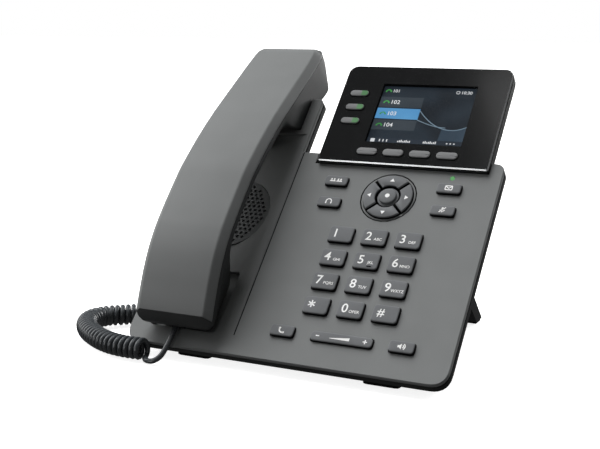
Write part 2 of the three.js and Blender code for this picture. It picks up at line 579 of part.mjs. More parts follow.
const panelPoint = (x, y, z) => new THREE.Vector3(x, y, z).applyMatrix4(deskToPanel.clone().invert()).toArray();
const COIL_ROUTE = [
  [18, -6.6, 6.6], [5, -7, 6.6], [-6, -5, 6.6], [-19.5, 1.2, 6.6], [-32, 10.5, 6.6], [-40.5, 20.5, 6.6],
  [-42.8, 30, 6.6], [-39.5, 38.5, 6.6], [-33, 44, 6.6], [-25.5, 50.5, 6.6],
];
const HANDSET_LEAD = [
  panelPoint(MOUTH_PLUG.x, MOUTH_PLUG.from - GAP, MOUTH_PLUG.z), panelPoint(MOUTH_PLUG.x, 5, 2.9), [30.2, -4, 8.9],
  [28.8, -8.7, 4.2], [25, -10.9, 1.9], [21.5, -10.6, 1.9], [18.4, -10.1, 2.6],
];
const BASE_LEAD = [
  [-25.1, 50.9, 10.2], [-21, 54, 10.4], [-14.5, 54, 14], [-9.5, 47.5, 21.5], [-5.5, 40.4, 26.2],
  panelPoint(-1, HANDSET_JACK.y, HANDSET_JACK.z), panelPoint(BASE_PLUG_FROM - GAP, HANDSET_JACK.y, HANDSET_JACK.z),
];
add(desk, "cord_coil", tube(COIL_ROUTE, COIL_RADIUS, 12, 30), cordPlastic);
add(desk, "cord_lead_handset", tube(HANDSET_LEAD, CORD_RADIUS, 8, 18), cordPlastic);
add(desk, "cord_lead_base", tube(BASE_LEAD, CORD_RADIUS, 8, 20), cordPlastic);

// --- The part's own frame: origin on the desk under the middle of everything but the cord ---

phone.updateMatrixWorld(true);
const bounds = new THREE.Box3();
phone.traverse((object) => {
  if (!object.isMesh || object.name.startsWith("cord_")) return;
  bounds.union(new THREE.Box3().setFromObject(object, true));
});
desk.position.set(-(bounds.min.x + bounds.max.x) / 2, -(bounds.min.y + bounds.max.y) / 2, 0);

export default phone;
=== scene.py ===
"""A desk IP phone: the looks of its moulded shells, keys, screen, curly cord and stand.

Lengths inside the functions are millimetres in the panel's own axes (x across, y up the slope, z out of the
face), and PanelFrame turns them into metres in the object's frame.
"""

import json
import math

import bpy
import numpy as np
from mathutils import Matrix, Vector
from mathutils.geometry import delaunay_2d_cdt

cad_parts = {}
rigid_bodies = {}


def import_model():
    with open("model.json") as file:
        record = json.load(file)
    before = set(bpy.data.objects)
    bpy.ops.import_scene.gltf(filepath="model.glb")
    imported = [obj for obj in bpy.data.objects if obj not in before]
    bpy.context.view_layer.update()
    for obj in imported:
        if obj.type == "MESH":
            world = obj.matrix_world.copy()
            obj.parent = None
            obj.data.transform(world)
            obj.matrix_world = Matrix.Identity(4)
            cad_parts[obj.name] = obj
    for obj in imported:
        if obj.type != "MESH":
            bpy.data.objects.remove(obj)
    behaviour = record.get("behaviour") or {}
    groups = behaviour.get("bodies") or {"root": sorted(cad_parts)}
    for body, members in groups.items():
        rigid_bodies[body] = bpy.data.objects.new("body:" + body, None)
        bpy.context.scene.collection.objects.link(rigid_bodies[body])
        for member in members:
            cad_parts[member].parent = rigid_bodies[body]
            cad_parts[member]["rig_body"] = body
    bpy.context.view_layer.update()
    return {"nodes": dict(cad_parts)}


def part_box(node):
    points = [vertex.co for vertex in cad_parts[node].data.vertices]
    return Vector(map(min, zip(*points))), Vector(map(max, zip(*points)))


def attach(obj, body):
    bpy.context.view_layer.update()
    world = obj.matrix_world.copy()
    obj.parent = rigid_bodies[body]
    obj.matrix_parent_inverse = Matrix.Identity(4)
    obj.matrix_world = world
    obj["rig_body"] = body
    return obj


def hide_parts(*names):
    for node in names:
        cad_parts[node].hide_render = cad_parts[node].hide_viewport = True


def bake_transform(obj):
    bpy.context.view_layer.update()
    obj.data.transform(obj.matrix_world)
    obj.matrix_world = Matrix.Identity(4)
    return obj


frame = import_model()
MM = 0.001


# --- Frames ---------------------------------------------------------------------------------------


class PanelFrame:
    """A flat face of the phone: its origin in metres and its slope about the x axis."""

    def __init__(self, origin, slope):
        self.origin = np.array(origin, float)
        c, s = math.cos(math.radians(slope)), math.sin(math.radians(slope))
        self.axes = np.array([[1, 0, 0], [0, c, s], [0, -s, c]])

    def place(self, points):
        """Millimetres in the panel's axes to metres in the object's frame: origin + point . axes."""
        return self.origin + np.asarray(points, float) * MM @ self.axes

    def measure(self, node):
        """Lowest and highest corners of a CAD node along the panel's axes, in millimetres."""
        mesh = frame["nodes"][node].data
        flat = np.zeros(len(mesh.vertices) * 3)
        mesh.vertices.foreach_get("co", flat)
        local = (flat.reshape(-1, 3) - self.origin) @ self.axes.T / MM
        return local.min(0), local.max(0)

    def outline_box(self, node, margin):
        """Middle x and y of a CAD node, its width and height less a margin, and its foot and top."""
        low, high = self.measure(node)
        return *((low[:2] + high[:2]) / 2), *((high - low)[:2] - margin), low[2], high[2]


SLOPE = 45.27  # degrees between the base's face and the desk
DISPLAY_LEAN = 0.91  # degrees more for the display
PANEL_LIFT = 8.5  # the face's lower edge above the desk
FOOT_ACROSS, FOOT_IN = 27.5, 10.2  # from the face's lower left corner to the left foot
DISPLAY_FOOT, DISPLAY_RAISE = 128.5, 3.2  # the display's lower edge, up the face and out of it

foot_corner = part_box("front_foot_left")[0]
PANEL = PanelFrame((foot_corner.x - FOOT_ACROSS * MM, foot_corner.y - FOOT_IN * MM, PANEL_LIFT * MM), SLOPE)
DISPLAY = PanelFrame(PANEL.place([0, DISPLAY_FOOT, DISPLAY_RAISE]), SLOPE + DISPLAY_LEAN)
DESK = PanelFrame(PANEL.origin - np.array([0, 0, PANEL_LIFT * MM]), 0)


# --- Meshes ---------------------------------------------------------------------------------------


def piece(name, points, faces, materials, body, face_slots=None, smooth=True):
    """A new mesh piece from points in metres, riding on a CAD body."""
    mesh = bpy.data.meshes.new(name)
    mesh.from_pydata(np.asarray(points, float).tolist(), [], [list(f) for f in faces])
    for material in materials:
        mesh.materials.append(material)
    if face_slots is not None:
        mesh.polygons.foreach_set("material_index", np.asarray(face_slots, np.int32))
    mesh.polygons.foreach_set("use_smooth", np.full(len(mesh.polygons), smooth))
    mesh.update()
    made = bpy.data.objects.new(name, mesh)
    bpy.context.scene.collection.objects.link(made)
    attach(made, body)
    return made


def bevel(made, width, angle):
    """Rounds the edges sharper than an angle in degrees; width in millimetres."""
    modifier = made.modifiers.new("edges", "BEVEL")
    modifier.width = width * MM
    modifier.segments = 2
    modifier.limit_method = "ANGLE"
    modifier.angle_limit = math.radians(angle)
    modifier.harden_normals = True


def band_faces(rows, columns):
    """Quads between neighbouring closed rings of a (rows, columns) grid of points, facing away from the axis
    when the rings turn counter-clockwise round the direction of travel."""
    row, column = np.meshgrid(np.arange(rows - 1), np.arange(columns), indexing="ij")
    a = row * columns + column
    b = row * columns + (column + 1) % columns
    return np.stack([a, b, b + columns, a + columns], -1).reshape(-1, 4).tolist()


def loft(rings):
    """Points and faces of a closed body carried through rings (rows, columns, 3), with a flat cap at each
    end."""
    rows, columns, _ = rings.shape
    faces = band_faces(rows, columns)
    faces.append(list(range(columns))[::-1])
    faces.append(list(range((rows - 1) * columns, rows * columns)))
    return rings.reshape(-1, 3), faces


def rounded_rectangle(x, y, width, height, radius, steps=6):
    """Counter-clockwise outline: four quarter circles of the given radius, joined by straight sides."""
    turn = np.linspace(0, math.pi / 2, steps)
    radii = np.broadcast_to(np.asarray(radius, float), (4,))
    corners = []
    for k, (sx, sy) in enumerate(((1, 1), (-1, 1), (-1, -1), (1, -1))):
        r = radii[k]
        angle = turn + k * math.pi / 2
        corners.append(np.stack([x + sx * (width / 2 - r) + r * np.cos(angle),
                                 y + sy * (height / 2 - r) + r * np.sin(angle)], -1))
    return np.concatenate(corners)


def circle(x, y, radius, count=24):
    """Counter-clockwise ring: centre + radius (cos a, sin a)."""
    a = np.linspace(0, 2 * math.pi, count, endpoint=False)
    return np.stack([x + radius * np.cos(a), y + radius * np.sin(a)], -1)


def inset(outline, distance):
    """Each corner of a smooth convex outline moves inwards along its own normal."""
    ahead = np.roll(outline, -1, 0) - np.roll(outline, 1, 0)
    normal = np.stack([ahead[:, 1], -ahead[:, 0]], -1)
    normal /= np.maximum(np.linalg.norm(normal, axis=1, keepdims=True), 1e-9)
    return outline - normal * distance


def at_height(outline, z):
    """Flat points (x, y) as (x, y, z), all at one height."""
    return np.concatenate([outline, np.full((len(outline), 1), z)], 1)


def turned_cap(outline, profile, crown=0.0):
    """Rings of a key-like body: profile lists (inset, height) from the skirt's foot to the edge of the top.
    The top rises by crown times (1 - r^2), with r the distance from the middle over the edge's."""
    middle = outline.mean(0)
    rings = [at_height(inset(outline, step), z) for step, z in profile]
    top = rings[-1]
    for share in (0.66, 0.33, 0.04):
        ring = top.copy()
        ring[:, :2] = middle + (top[:, :2] - middle) * share
        ring[:, 2] = profile[-1][1] + crown * (1 - share ** 2)
        rings.append(ring)
    return np.stack(rings)


def plate_with_holes(outline, holes):
    """Flat triangles filling an outline and leaving its holes open: a constrained Delaunay triangulation."""
    loops = [outline, *holes]
    points = np.concatenate(loops)
    index = np.arange(len(points))
    starts = np.cumsum([0, *(len(loop) for loop in loops)])
    rims = [index[a:b].tolist() for a, b in zip(starts[:-1], starts[1:])]
    inside_with_holes = 2
    found = delaunay_2d_cdt([Vector(p) for p in points.tolist()], [], rims, inside_with_holes, 1e-6)
    return np.array([list(v) for v in found[0]]), [list(f) for f in found[2]]


def wall_faces(count, top, foot):
    """Quads from one closed loop of points down to another of the same length."""
    k = np.arange(count)
    n = (k + 1) % count
    return np.stack([top + k, foot + k, foot + n, top + n], -1).tolist()


def smooth_route(points, spacing):
    """A smooth path through the points: cubic Hermite pieces whose slope at a point is half the difference
    between its neighbours, sampled again at an even spacing."""
    p = np.asarray(points, float)
    slope = np.gradient(p, axis=0)
    t = np.linspace(0, 1, 40, endpoint=False)[:, None, None]
    a, b, m, n = p[:-1], p[1:], slope[:-1], slope[1:]
    h = (2 * t ** 3 - 3 * t ** 2 + 1) * a + (t ** 3 - 2 * t ** 2 + t) * m
    h = h + (-2 * t ** 3 + 3 * t ** 2) * b + (t ** 3 - t ** 2) * n
    fine = np.concatenate([h.transpose(1, 0, 2).reshape(-1, p.shape[1]), p[-1:]])
    return evenly(fine, spacing)


def evenly(path, spacing):
    """The same path with points an even distance apart."""
    along = np.concatenate([[0], np.cumsum(np.linalg.norm(np.diff(path, axis=0), axis=1))])
    marks = np.linspace(0, along[-1], max(3, int(round(along[-1] / spacing)) + 1))
    return np.stack([np.interp(marks, along, path[:, k]) for k in range(path.shape[1])], -1)


# --- Materials ------------------------------------------------------------------------------------


def linear(code):
    """An sRGB hex colour as linear RGBA."""
    parts = [int(code[k:k + 2], 16) / 255 for k in (1, 3, 5)]
    return [c / 12.92 if c <= 0.04045 else ((c + 0.055) / 1.055) ** 2.4 for c in parts] + [1.0]


def node(tree, kind, **inputs):
    """Adds a node. inputs are its sockets by name (spaces as _) or number (i1): a value or another socket."""
    made = tree.nodes.new(kind)
    for key, value in inputs.items():
        by_number = key[0] == "i" and key[1:].isdigit()
        socket = made.inputs[int(key[1:]) if by_number else key.replace("_", " ")]
        if isinstance(value, bpy.types.NodeSocket):
            tree.links.new(value, socket)
        else:
            socket.default_value = value
    return made


def shader(name, **inputs):
    """A new material with a Principled shader; returns the material, its tree and the shader node."""
    material = bpy.data.materials.new(name)
    material.use_nodes = True
    tree = material.node_tree
    tree.nodes.clear()
    surface = node(tree, "ShaderNodeBsdfPrincipled", **inputs)
    node(tree, "ShaderNodeOutputMaterial", Surface=surface.outputs[0])
    return material, tree, surface


def grain(tree, size, detail):
    """Noise on object coordinates whose lumps are about size millimetres."""
    where = node(tree, "ShaderNodeTexCoord")
    return node(tree, "ShaderNodeTexNoise", Vector=where.outputs["Object"], Scale=1 / (size * MM),
                Detail=detail, Roughness=0.6)


def tone(tree, noise, dark, light):
    """A colour that drifts between two close shades with the noise."""
    ramp = node(tree, "ShaderNodeValToRGB", Fac=noise.outputs["Fac"])
    for stop, position, code in zip(ramp.color_ramp.elements, (0.35, 0.65), (dark, light)):
        stop.position = position
        stop.color = linear(code)
    return ramp.outputs["Color"]


def vary(tree, noise, least, most, socket, **inputs):
    """Lets the noise move a socket between two values."""
    spread = node(tree, "ShaderNodeMapRange", Value=noise.outputs["Fac"], To_Min=least, To_Max=most, **inputs)
    tree.links.new(spread.outputs["Result"], socket)


def moulded(name, dark, light, roughness, texture_mm, depth_mm, specular):
    """Moulded thermoplastic: a spark-eroded texture of a given size, slow shade drift, and uneven gloss."""
    spread = 0.06
    material, tree, surface = shader(name, Specular_IOR_Level=specular, IOR=1.5)
    fine = grain(tree, texture_mm, 3.0)
    slow = grain(tree, 22.0, 1.0)
    tree.links.new(tone(tree, slow, dark, light), surface.inputs["Base Color"])
    vary(tree, fine, roughness - spread, roughness + spread, surface.inputs["Roughness"], From_Min=0.3,
         From_Max=0.7)
    relief = node(tree, "ShaderNodeBump", Height=fine.outputs["Fac"], Strength=0.55, Distance=depth_mm * MM)
    tree.links.new(relief.outputs["Normal"], surface.inputs["Normal"])
    return material


# ABS, spark-eroded mould: a dry, even grey whose tiny pits break up the highlights.
GREY_ABS = moulded("grey_abs_eroded", "#7d7f7f", "#808282", 0.62, 0.7, 0.03, 0.35)
# ABS, finer mould on the handset: nearly the same grey with a softer sheen along its crown.
HANDSET_ABS = moulded("handset_grey_abs", "#7b7d7d", "#7d7f7f", 0.5, 0.55, 0.02, 0.45)
# ABS, the handset's underside: the handset's grey darkened as painted shade for the underside, which faces
# away from the light; it stays readable.
UNDERSIDE_GREY_PAINTED_SHADE = moulded("handset_grey_abs_painted_shade", "#3b3d3d", "#414343", 0.5, 0.6, 0.02, 0.4)
# ABS dyed black, spark-eroded: very little diffuse light and a faint wide sheen.
BLACK_ABS = moulded("black_abs_eroded", "#191b1b", "#1f2121", 0.55, 0.7, 0.03, 0.22)
# ABS polished at the keys' skirts: black and slightly glossy; the black also paints the shade on the keys'
# sides.
SKIRT_ABS = moulded("key_skirt_black_abs_side_shade", "#0a0a0b", "#0d0d0e", 0.42, 0.5, 0.01, 0.2)
# Polycarbonate key tops, painted: mid grey and satin, so that their rounded edges show a soft light line.
KEY_PAINT = moulded("key_top_satin_paint", "#6c6e70", "#737577", 0.42, 0.4, 0.012, 0.4)
# Nickel-coloured paint on the display's chamfer: bright where it turns to the light.
TRIM_PAINT = moulded("silver_trim_paint", "#c9cccd", "#d6d8d9", 0.3, 0.3, 0.008, 0.6)
TRIM_PAINT.node_tree.nodes["Principled BSDF"].inputs["Metallic"].default_value = 0.9
# Thermoplastic elastomer feet: matte black with a coarse grip.
FOOT_RUBBER = moulded("foot_rubber_moulded", "#0b0b0b", "#101010", 0.85, 0.9, 0.06, 0.15)
# Silicone keypad mat: dark grey and dull; this dark grey also paints the shade in the gaps round the keys, so
# that they read as dark lines.
SILICONE = moulded("silicone_mat_moulded", "#35383b", "#3c3f42", 0.75, 1.0, 0.03, 0.3)
# Printed white ink on key tops: opaque and matte.
WHITE_INK = moulded("white_pad_print", "#f2f2f0", "#ffffff", 0.5, 0.3, 0.005, 0.3)
# Matte black: painted shade laid in grooves and slots, standing for their depth, and the LCD's own black rim;
# no highlight.
GROOVE_SHADE_AND_LCD_BLACK = moulded("groove_shadow_black", "#0c0d0d", "#111212", 0.8, 0.8, 0.01, 0.1)
# ABS of the display's pill keys: mid grey with a satin sheen against the glossy bezel.
PILL_PAINT = moulded("display_key_grey_abs", "#7a7b7c", "#818283", 0.4, 0.4, 0.01, 0.4)
# ABS of the loudspeaker grille: a shade darker than the cover, dry, so that the holes stay clear.
GRILLE_ABS = moulded("grille_dark_grey_abs", "#6a6c6c", "#707272", 0.55, 0.6, 0.02, 0.3)
# Matte polyester film of the blank label: pale grey and flat against the black back.
LABEL_FILM = moulded("matte_polyester_label", "#a9abab", "#b2b4b4", 0.6, 1.2, 0.004, 0.3)


def glossy_acrylic():
    """Hard-coated black acrylic: mirror-like, with a slight waviness that bends reflections."""
    material, tree, surface = shader("black_acrylic_hardcoat", Roughness=0.16, Specular_IOR_Level=0.5,
                                     IOR=1.49, Coat_Weight=0.25, Coat_Roughness=0.08)
    wave = grain(tree, 14.0, 1.0)
    tree.links.new(tone(tree, wave, "#101112", "#131415"), surface.inputs["Base Color"])
    relief = node(tree, "ShaderNodeBump", Height=wave.outputs["Fac"], Strength=0.15, Distance=0.05 * MM)
    tree.links.new(relief.outputs["Normal"], surface.inputs["Normal"])
    return material


def cord_jacket():
    """Extruded polyurethane jacket: dark grey, wet-looking, with a fine drawn texture."""
    material, tree, surface = shader("cord_grey_polyurethane", Specular_IOR_Level=0.8, IOR=1.5)
    fine = grain(tree, 0.6, 2.0)
    tree.links.new(tone(tree, fine, "#3c4043", "#474b4e"), surface.inputs["Base Color"])
    vary(tree, fine, 0.2, 0.38, surface.inputs["Roughness"])
    return material


def clear_polycarbonate():
    """Clear polycarbonate of the modular plugs: see-through with a grey cast and sharp edges."""
    material, tree, surface = shader("plug_clear_polycarbonate", Roughness=0.12, IOR=1.58,
                                     Transmission_Weight=0.75)
    cloud = grain(tree, 2.5, 1.0)
    tree.links.new(tone(tree, cloud, "#4c4f52", "#5c6063"), surface.inputs["Base Color"])
    return material


def window_acrylic():
    """Clear hard-coated lens over the screen: mostly see-through, leaving only its gloss."""
    material, tree, surface = shader("clear_acrylic_lens", Base_Color=linear("#0c0e10"), Roughness=0.08,
                                     IOR=1.49, Specular_IOR_Level=0.5)
    vary(tree, grain(tree, 9.0, 1.0), 0.1, 0.14, surface.inputs["Alpha"])
    return material


def lit(name, colour, strength, drift):
    """A patch lit from behind: emission that drifts slowly to a second colour, so that it is never flat."""
    material, tree, surface = shader(name, Base_Color=linear("#050607"), Roughness=0.4,
                                     Emission_Strength=strength)
    cloud = grain(tree, 18.0, 0.0)
    tree.links.new(tone(tree, cloud, colour, drift), surface.inputs["Emission Color"])
    return material


def plated_metal():
    """Nickel-plated steel shields of the sockets: brushed along x."""
    material, tree, surface = shader("nickel_plated_steel", Metallic=1.0)
    where = node(tree, "ShaderNodeTexCoord")
    stretch = node(tree, "ShaderNodeMapping", Vector=where.outputs["Object"], Scale=(1, 40, 40))
    lines = node(tree, "ShaderNodeTexNoise", Vector=stretch.outputs[0], Scale=120.0, Detail=3.0)
    tree.links.new(tone(tree, lines, "#a4a6a8", "#b9bbbc"), surface.inputs["Base Color"])
    vary(tree, lines, 0.25, 0.45, surface.inputs["Roughness"])
    return material


def solder_mask():
    """Green solder mask over copper tracks about 1.5 mm apart."""
    material, tree, surface = shader("green_solder_mask_board", Roughness=0.35, IOR=1.5)
    where = node(tree, "ShaderNodeTexCoord")
    tracks = node(tree, "ShaderNodeTexBrick", Vector=where.outputs["Object"], Scale=1 / (6 * MM),
                  Color1=linear("#1c5a36"), Color2=linear("#1f6239"), Mortar=linear("#2f7d4b"),
                  Mortar_Size=0.03)
    tree.links.new(tracks.outputs["Color"], surface.inputs["Base Color"])
    return material


GLOSS_BLACK = glossy_acrylic()
CORD_JACKET = cord_jacket()
PLUG_CLEAR = clear_polycarbonate()
LENS_CLEAR = window_acrylic()
SHIELD_METAL = plated_metal()
BOARD_GREEN = solder_mask()
# Backlit areas of the LCD: they glow, so they keep their colour where the bezel shades them.
SCREEN_BACK = lit("backlit_lcd_dark", "#1e252d", 0.9, "#2b353f")
SCREEN_ROW = lit("backlit_lcd_row", "#3b444c", 0.9, "#444d55")
SCREEN_CHOSEN = lit("backlit_lcd_chosen_row", "#5a9ed4", 1.0, "#62a6da")
SCREEN_WAVE = lit("backlit_lcd_wave", "#7f97a8", 0.9, "#93a9b8")
SCREEN_FILL = lit("backlit_lcd_wave_fill", "#3a4a59", 0.9, "#465767")
SCREEN_BAR = lit("backlit_lcd_bar", "#2a323c", 0.9, "#323b46")
SCREEN_WHITE = lit("backlit_lcd_white", "#e6eaee", 1.0, "#f4f6f8")
SCREEN_GREEN = lit("backlit_lcd_green", "#3f9a45", 1.0, "#55b45a")
# Green lenses over small lamps: a weak glow that shows against the grey round them.
LAMP_GREEN = lit("lamp_green_lens", "#5fb866", 0.55, "#7fd084")
KEY_GREEN = lit("lit_key_end_green", "#6fa873", 0.5, "#86c08a")


# --- Camera, light and desk -----------------------------------------------------------------------


def camera():
    """A long lens a little above the desk and to the phone's right."""
    data = bpy.data.cameras.new("camera")
    data.lens = 65.17
    data.sensor_width = 36
    made = bpy.data.objects.new("camera", data)
    made.location = DESK.place([339.63, -478.5, 186.17])
    made.rotation_euler = (math.radians(90 - 11.09), 0, math.radians(25.81))
    bpy.context.scene.collection.objects.link(made)
    bpy.context.scene.camera = made


def area_light(name, where, target, size, power):
    """A square soft box of a side in metres, facing its target."""
    data = bpy.data.lights.new(name, "AREA")
    data.size = size
    data.energy = power
    made = bpy.data.objects.new(name, data)
    made.location = where
    made.rotation_euler = (Vector(target) - Vector(where)).to_track_quat("-Z", "Y").to_euler()
    bpy.context.scene.collection.objects.link(made)
    return made


def studio():
    """A pale desk, a white surround that only the camera sees at full strength, a broad ceiling light, two
    soft fills, and two lamps that show only in reflections."""
    scene = bpy.context.scene
    scene.view_settings.view_transform = "Standard"
    world = bpy.data.worlds.new("studio")
    scene.world = world
    world.use_nodes = True
    tree = world.node_tree
    tree.nodes.clear()
    rays = node(tree, "ShaderNodeLightPath")
    seen = node(tree, "ShaderNodeBackground", Color=(1, 1, 1, 1), Strength=1.0)
    felt = node(tree, "ShaderNodeBackground", Color=(1, 1, 1, 1), Strength=0.12)
    mixed = node(tree, "ShaderNodeMixShader", Fac=rays.outputs["Is Camera Ray"], i1=felt.outputs[0],
                 i2=seen.outputs[0])
    node(tree, "ShaderNodeOutputWorld", Surface=mixed.outputs[0])
    key = bpy.data.lights.new("ceiling_softbox", "SUN")
    key.energy = 4.2
    key.angle = math.radians(42)
    ceiling = bpy.data.objects.new("ceiling_softbox", key)
    ceiling.rotation_euler = Vector((-0.38, 0.2, 1)).to_track_quat("Z", "Y").to_euler()
    scene.collection.objects.link(ceiling)
    ceiling.visible_glossy = False
    gleam = area_light("display_gleam", (0.15, -0.25, 1.3), (0.05, 0, 0.1), 0.7, 1.7)
    gleam.visible_diffuse = False
    glint = area_light("trim_glint", (-0.45, -1.2, 0.1), (0, 0, 0.1), 0.5, 3)
    glint.visible_diffuse = False
    area_light("left_fill", (-1.1, -0.1, 0.6), (0, 0, 0.05), 1.0, 7)
    area_light("back_fill", (0.5, 1.3, 0.55), (0, 0, 0.08), 0.8, 12)
    desk = bpy.data.meshes.new("desk_top")
    reach = 6.0
    corners = [(-reach, -reach, 0), (reach, -reach, 0), (reach, reach, 0), (-reach, reach, 0)]
    desk.from_pydata(corners, [], [(0, 1, 2, 3)])
    top = bpy.data.objects.new("desk_top", desk)
    scene.collection.objects.link(top)
    top.location.z = -0.2 * MM
    top.visible_glossy = False
    top.visible_diffuse = False
    # The laminate is partly self-lit, which keeps the desk white and the phone's shadow faint.
    laminate = moulded("pale_desk_laminate", "#f4f4f3", "#f8f8f7", 0.8, 1.0, 0.01, 0.1)
    glow = laminate.node_tree.nodes["Principled BSDF"]
    glow.inputs["Emission Color"].default_value = (1, 1, 1, 1)
    glow.inputs["Emission Strength"].default_value = 0.86
    desk.materials.append(laminate)


camera()
studio()


# --- Handset cord ---------------------------------------------------------------------------------

CORD_RADIUS = 1.5
COIL_RADIUS = 6.5
COIL_PITCH = 3.25
COIL_LEVEL = 6.6  # the coil's middle above the desk
COIL_START = -2.3  # radians round the coil, where the handset's lead joins it
COIL_LAST_TURN = 0.28  # the part turn that ends at the base's lead
COIL_STEP, LEAD_STEP = 0.15, 0.8  # spacing of the points that draw them
COIL_ROUTE = [
    (18, -6.6), (5, -7), (-6, -5), (-19.5, 1.2), (-32, 10.5), (-40.5, 20.5), (-42.8, 30), (-39.5, 38.5),
    (-33, 44), (-25.5, 50.5),
]


def panel_to_desk(point):
    """A point in the panel's millimetres as desk millimetres."""
    return (PANEL.place(point) - DESK.origin) / MM


def handset_cord():
    """One wire from plug to plug: lead, coil and lead. The coil is centre + r (cos a N + sin a Z), where N is
    level and square to the route and a grows by a full turn for each pitch along it."""
    plug = [(30.5, 11.2, 2.4), (30.5, 5, 2.9)]
    lead_in = [*(panel_to_desk(p) for p in plug), (30.2, -4, 8.9), (28.8, -8.7, 4.2), (25, -10.9, 1.9),
               (21.5, -10.6, 1.9), (18.4, -10.1, 2.6)]
    jack = [(-1, 40, -14.5), (5.7, 40, -14.5)]
    lead_out = [(-25.1, 50.9, 10.2), (-21, 54, 10.4), (-14.5, 54, 14), (-9.5, 47.5, 21.5), (-5.5, 40.4, 26.2),
                *(panel_to_desk(p) for p in jack)]
    route = smooth_route([(x, y, COIL_LEVEL) for x, y in COIL_ROUTE], COIL_STEP)
    ahead = np.gradient(route, axis=0)
    ahead /= np.linalg.norm(ahead, axis=1, keepdims=True)
    level = np.cross(ahead, (0, 0, 1))
    length = COIL_STEP * (len(route) - 1)
    turns = round(length / COIL_PITCH) + COIL_LAST_TURN
    angle = COIL_START + 2 * math.pi * turns * np.linspace(0, 1, len(route))
    reach = COIL_RADIUS - CORD_RADIUS
    rise = np.array([0, 0, 1.0])
    coil = route + reach * (np.cos(angle)[:, None] * level + np.sin(angle)[:, None] * rise)
    leads = smooth_route(lead_in, LEAD_STEP), smooth_route(lead_out, LEAD_STEP)
    path = np.concatenate([leads[0][:-2], coil[4:-4], leads[1][2:]])
    path = evenly(path, 1.0)
    path[2:-2] = (path[:-4] + path[1:-3] + path[2:-2] + path[3:-1] + path[4:]) / 5
    path = DESK.place(path)
    curve = bpy.data.curves.new("handset_cord", "CURVE")
    curve.dimensions = "3D"
    curve.bevel_depth = CORD_RADIUS * MM
    curve.bevel_resolution = 2
    curve.use_fill_caps = True
    spline = curve.splines.new("POLY")
    spline.points.add(len(path) - 1)
    spline.points.foreach_set("co", np.concatenate([path, np.ones((len(path), 1))], 1).ravel())
    drawn = bpy.data.objects.new("cord_line", curve)
    bpy.context.scene.collection.objects.link(drawn)
    bpy.context.view_layer.update()
    mesh = bpy.data.meshes.new_from_object(drawn)
    bpy.data.objects.remove(drawn)
    mesh.name = "handset_cord"
    mesh.materials.clear()
    mesh.materials.append(CORD_JACKET)
    mesh.polygons.foreach_set("use_smooth", np.ones(len(mesh.polygons), bool))
    made = bpy.data.objects.new("handset_cord", mesh)
    bpy.context.scene.collection.objects.link(made)
    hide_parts("cord_coil", "cord_lead_handset", "cord_lead_base")
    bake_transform(made)


handset_cord()


# --- Handset --------------------------------------------------------------------------------------

CRADLE_X = 32.5
# Sections from the mouth end to the ear end: place, half width, top, foot of the side wall, underside, and
# half width of the underside.
HANDSET_SECTIONS = np.array([
    [8.6, 20, 9.4, 8, 7, 17], [10, 22.6, 12.6, 7.4, 4, 17], [11.8, 23.7, 15.9, 8, 0.5, 16.5],
    [14, 24, 17.2, 9, -2.6, 16], [17, 24, 18.8, 10.4, -4.4, 16], [24, 24, 22, 13.4, -4.4, 16],
    [32, 24, 25.4, 16.8, -4.4, 16], [42, 24, 28.8, 20.2, -4.4, 16], [47, 24, 30.1, 21.5, -3, 15.5],
    [52, 24, 31.1, 22.5, 3.5, 15], [60, 24, 32.2, 23.6, 9.5, 14], [75, 24, 33, 24.4, 13, 13],
    [93, 24, 33.2, 24.6, 14, 13], [112, 24, 31.5, 22.9, 13.4, 13], [130, 24, 28.8, 20.2, 12, 14],
    [138, 24, 27.2, 19, 11.2, 15], [143, 24, 26.2, 16.2, 10, 18], [147, 24, 25.2, 8.6, 7, 20],
    [151, 24, 24.2, 2.7, 1, 22], [157, 24, 22.7, -3.5, -5.2, 22], [170, 24, 19.4, -7.2, -8.8, 22],
    [185, 24, 15.6, -11.4, -13, 22], [197, 23.8, 12.6, -14.9, -16.4, 22], [201, 23.6, 11.6, -8.4, -10, 21.5],
    [206, 23, 10.2, -1, -2.4, 21], [209.4, 21.5, 8.4, 4.8, 4, 19.5],
])
CHAMFER_SIDE = 3.7
CHAMFER_DROP = 4.2
SEAM_DROP = 4.7
HANDSET_WALL = 2.0
HANDSET_END = 209.4
NOSE_END = 11.7  # below it the back shell fills the whole section
STATION_STEP = 1.4


def handset_stations(first, last):
    """The sections at even steps and on both sides of the nose's end, each column a monotone cubic through
    the table: the slope at a knot is the harmonic mean of the slopes on its two sides, or 0 where they differ
    in sign."""
    knots = HANDSET_SECTIONS[:, 0]
    round_nose = [max(first, NOSE_END - 0.05), max(first, NOSE_END + 0.05)]
    places = np.unique(np.concatenate([np.arange(first, last, STATION_STEP), round_nose, [last]]))
    step = np.diff(knots)[:, None]
    slope = np.diff(HANDSET_SECTIONS, axis=0) / step
    product = slope[:-1] * slope[1:]
    mean = np.where(product > 0, 2 * product / np.where(product > 0, slope[:-1] + slope[1:], 1), 0)
    tangent = np.concatenate([slope[:1], mean, slope[-1:]])
    k = np.clip(np.searchsorted(knots, places, "right") - 1, 0, len(knots) - 2)
    t = ((places - knots[k]) / np.diff(knots)[k])[:, None]
    a, b = HANDSET_SECTIONS[k], HANDSET_SECTIONS[k + 1]
    m, n = tangent[k] * step[k], tangent[k + 1] * step[k]
    table = (2 * t ** 3 - 3 * t ** 2 + 1) * a + (t ** 3 - 2 * t ** 2 + t) * m
    return table + (-2 * t ** 3 + 3 * t ** 2) * b + (t ** 3 - t ** 2) * n


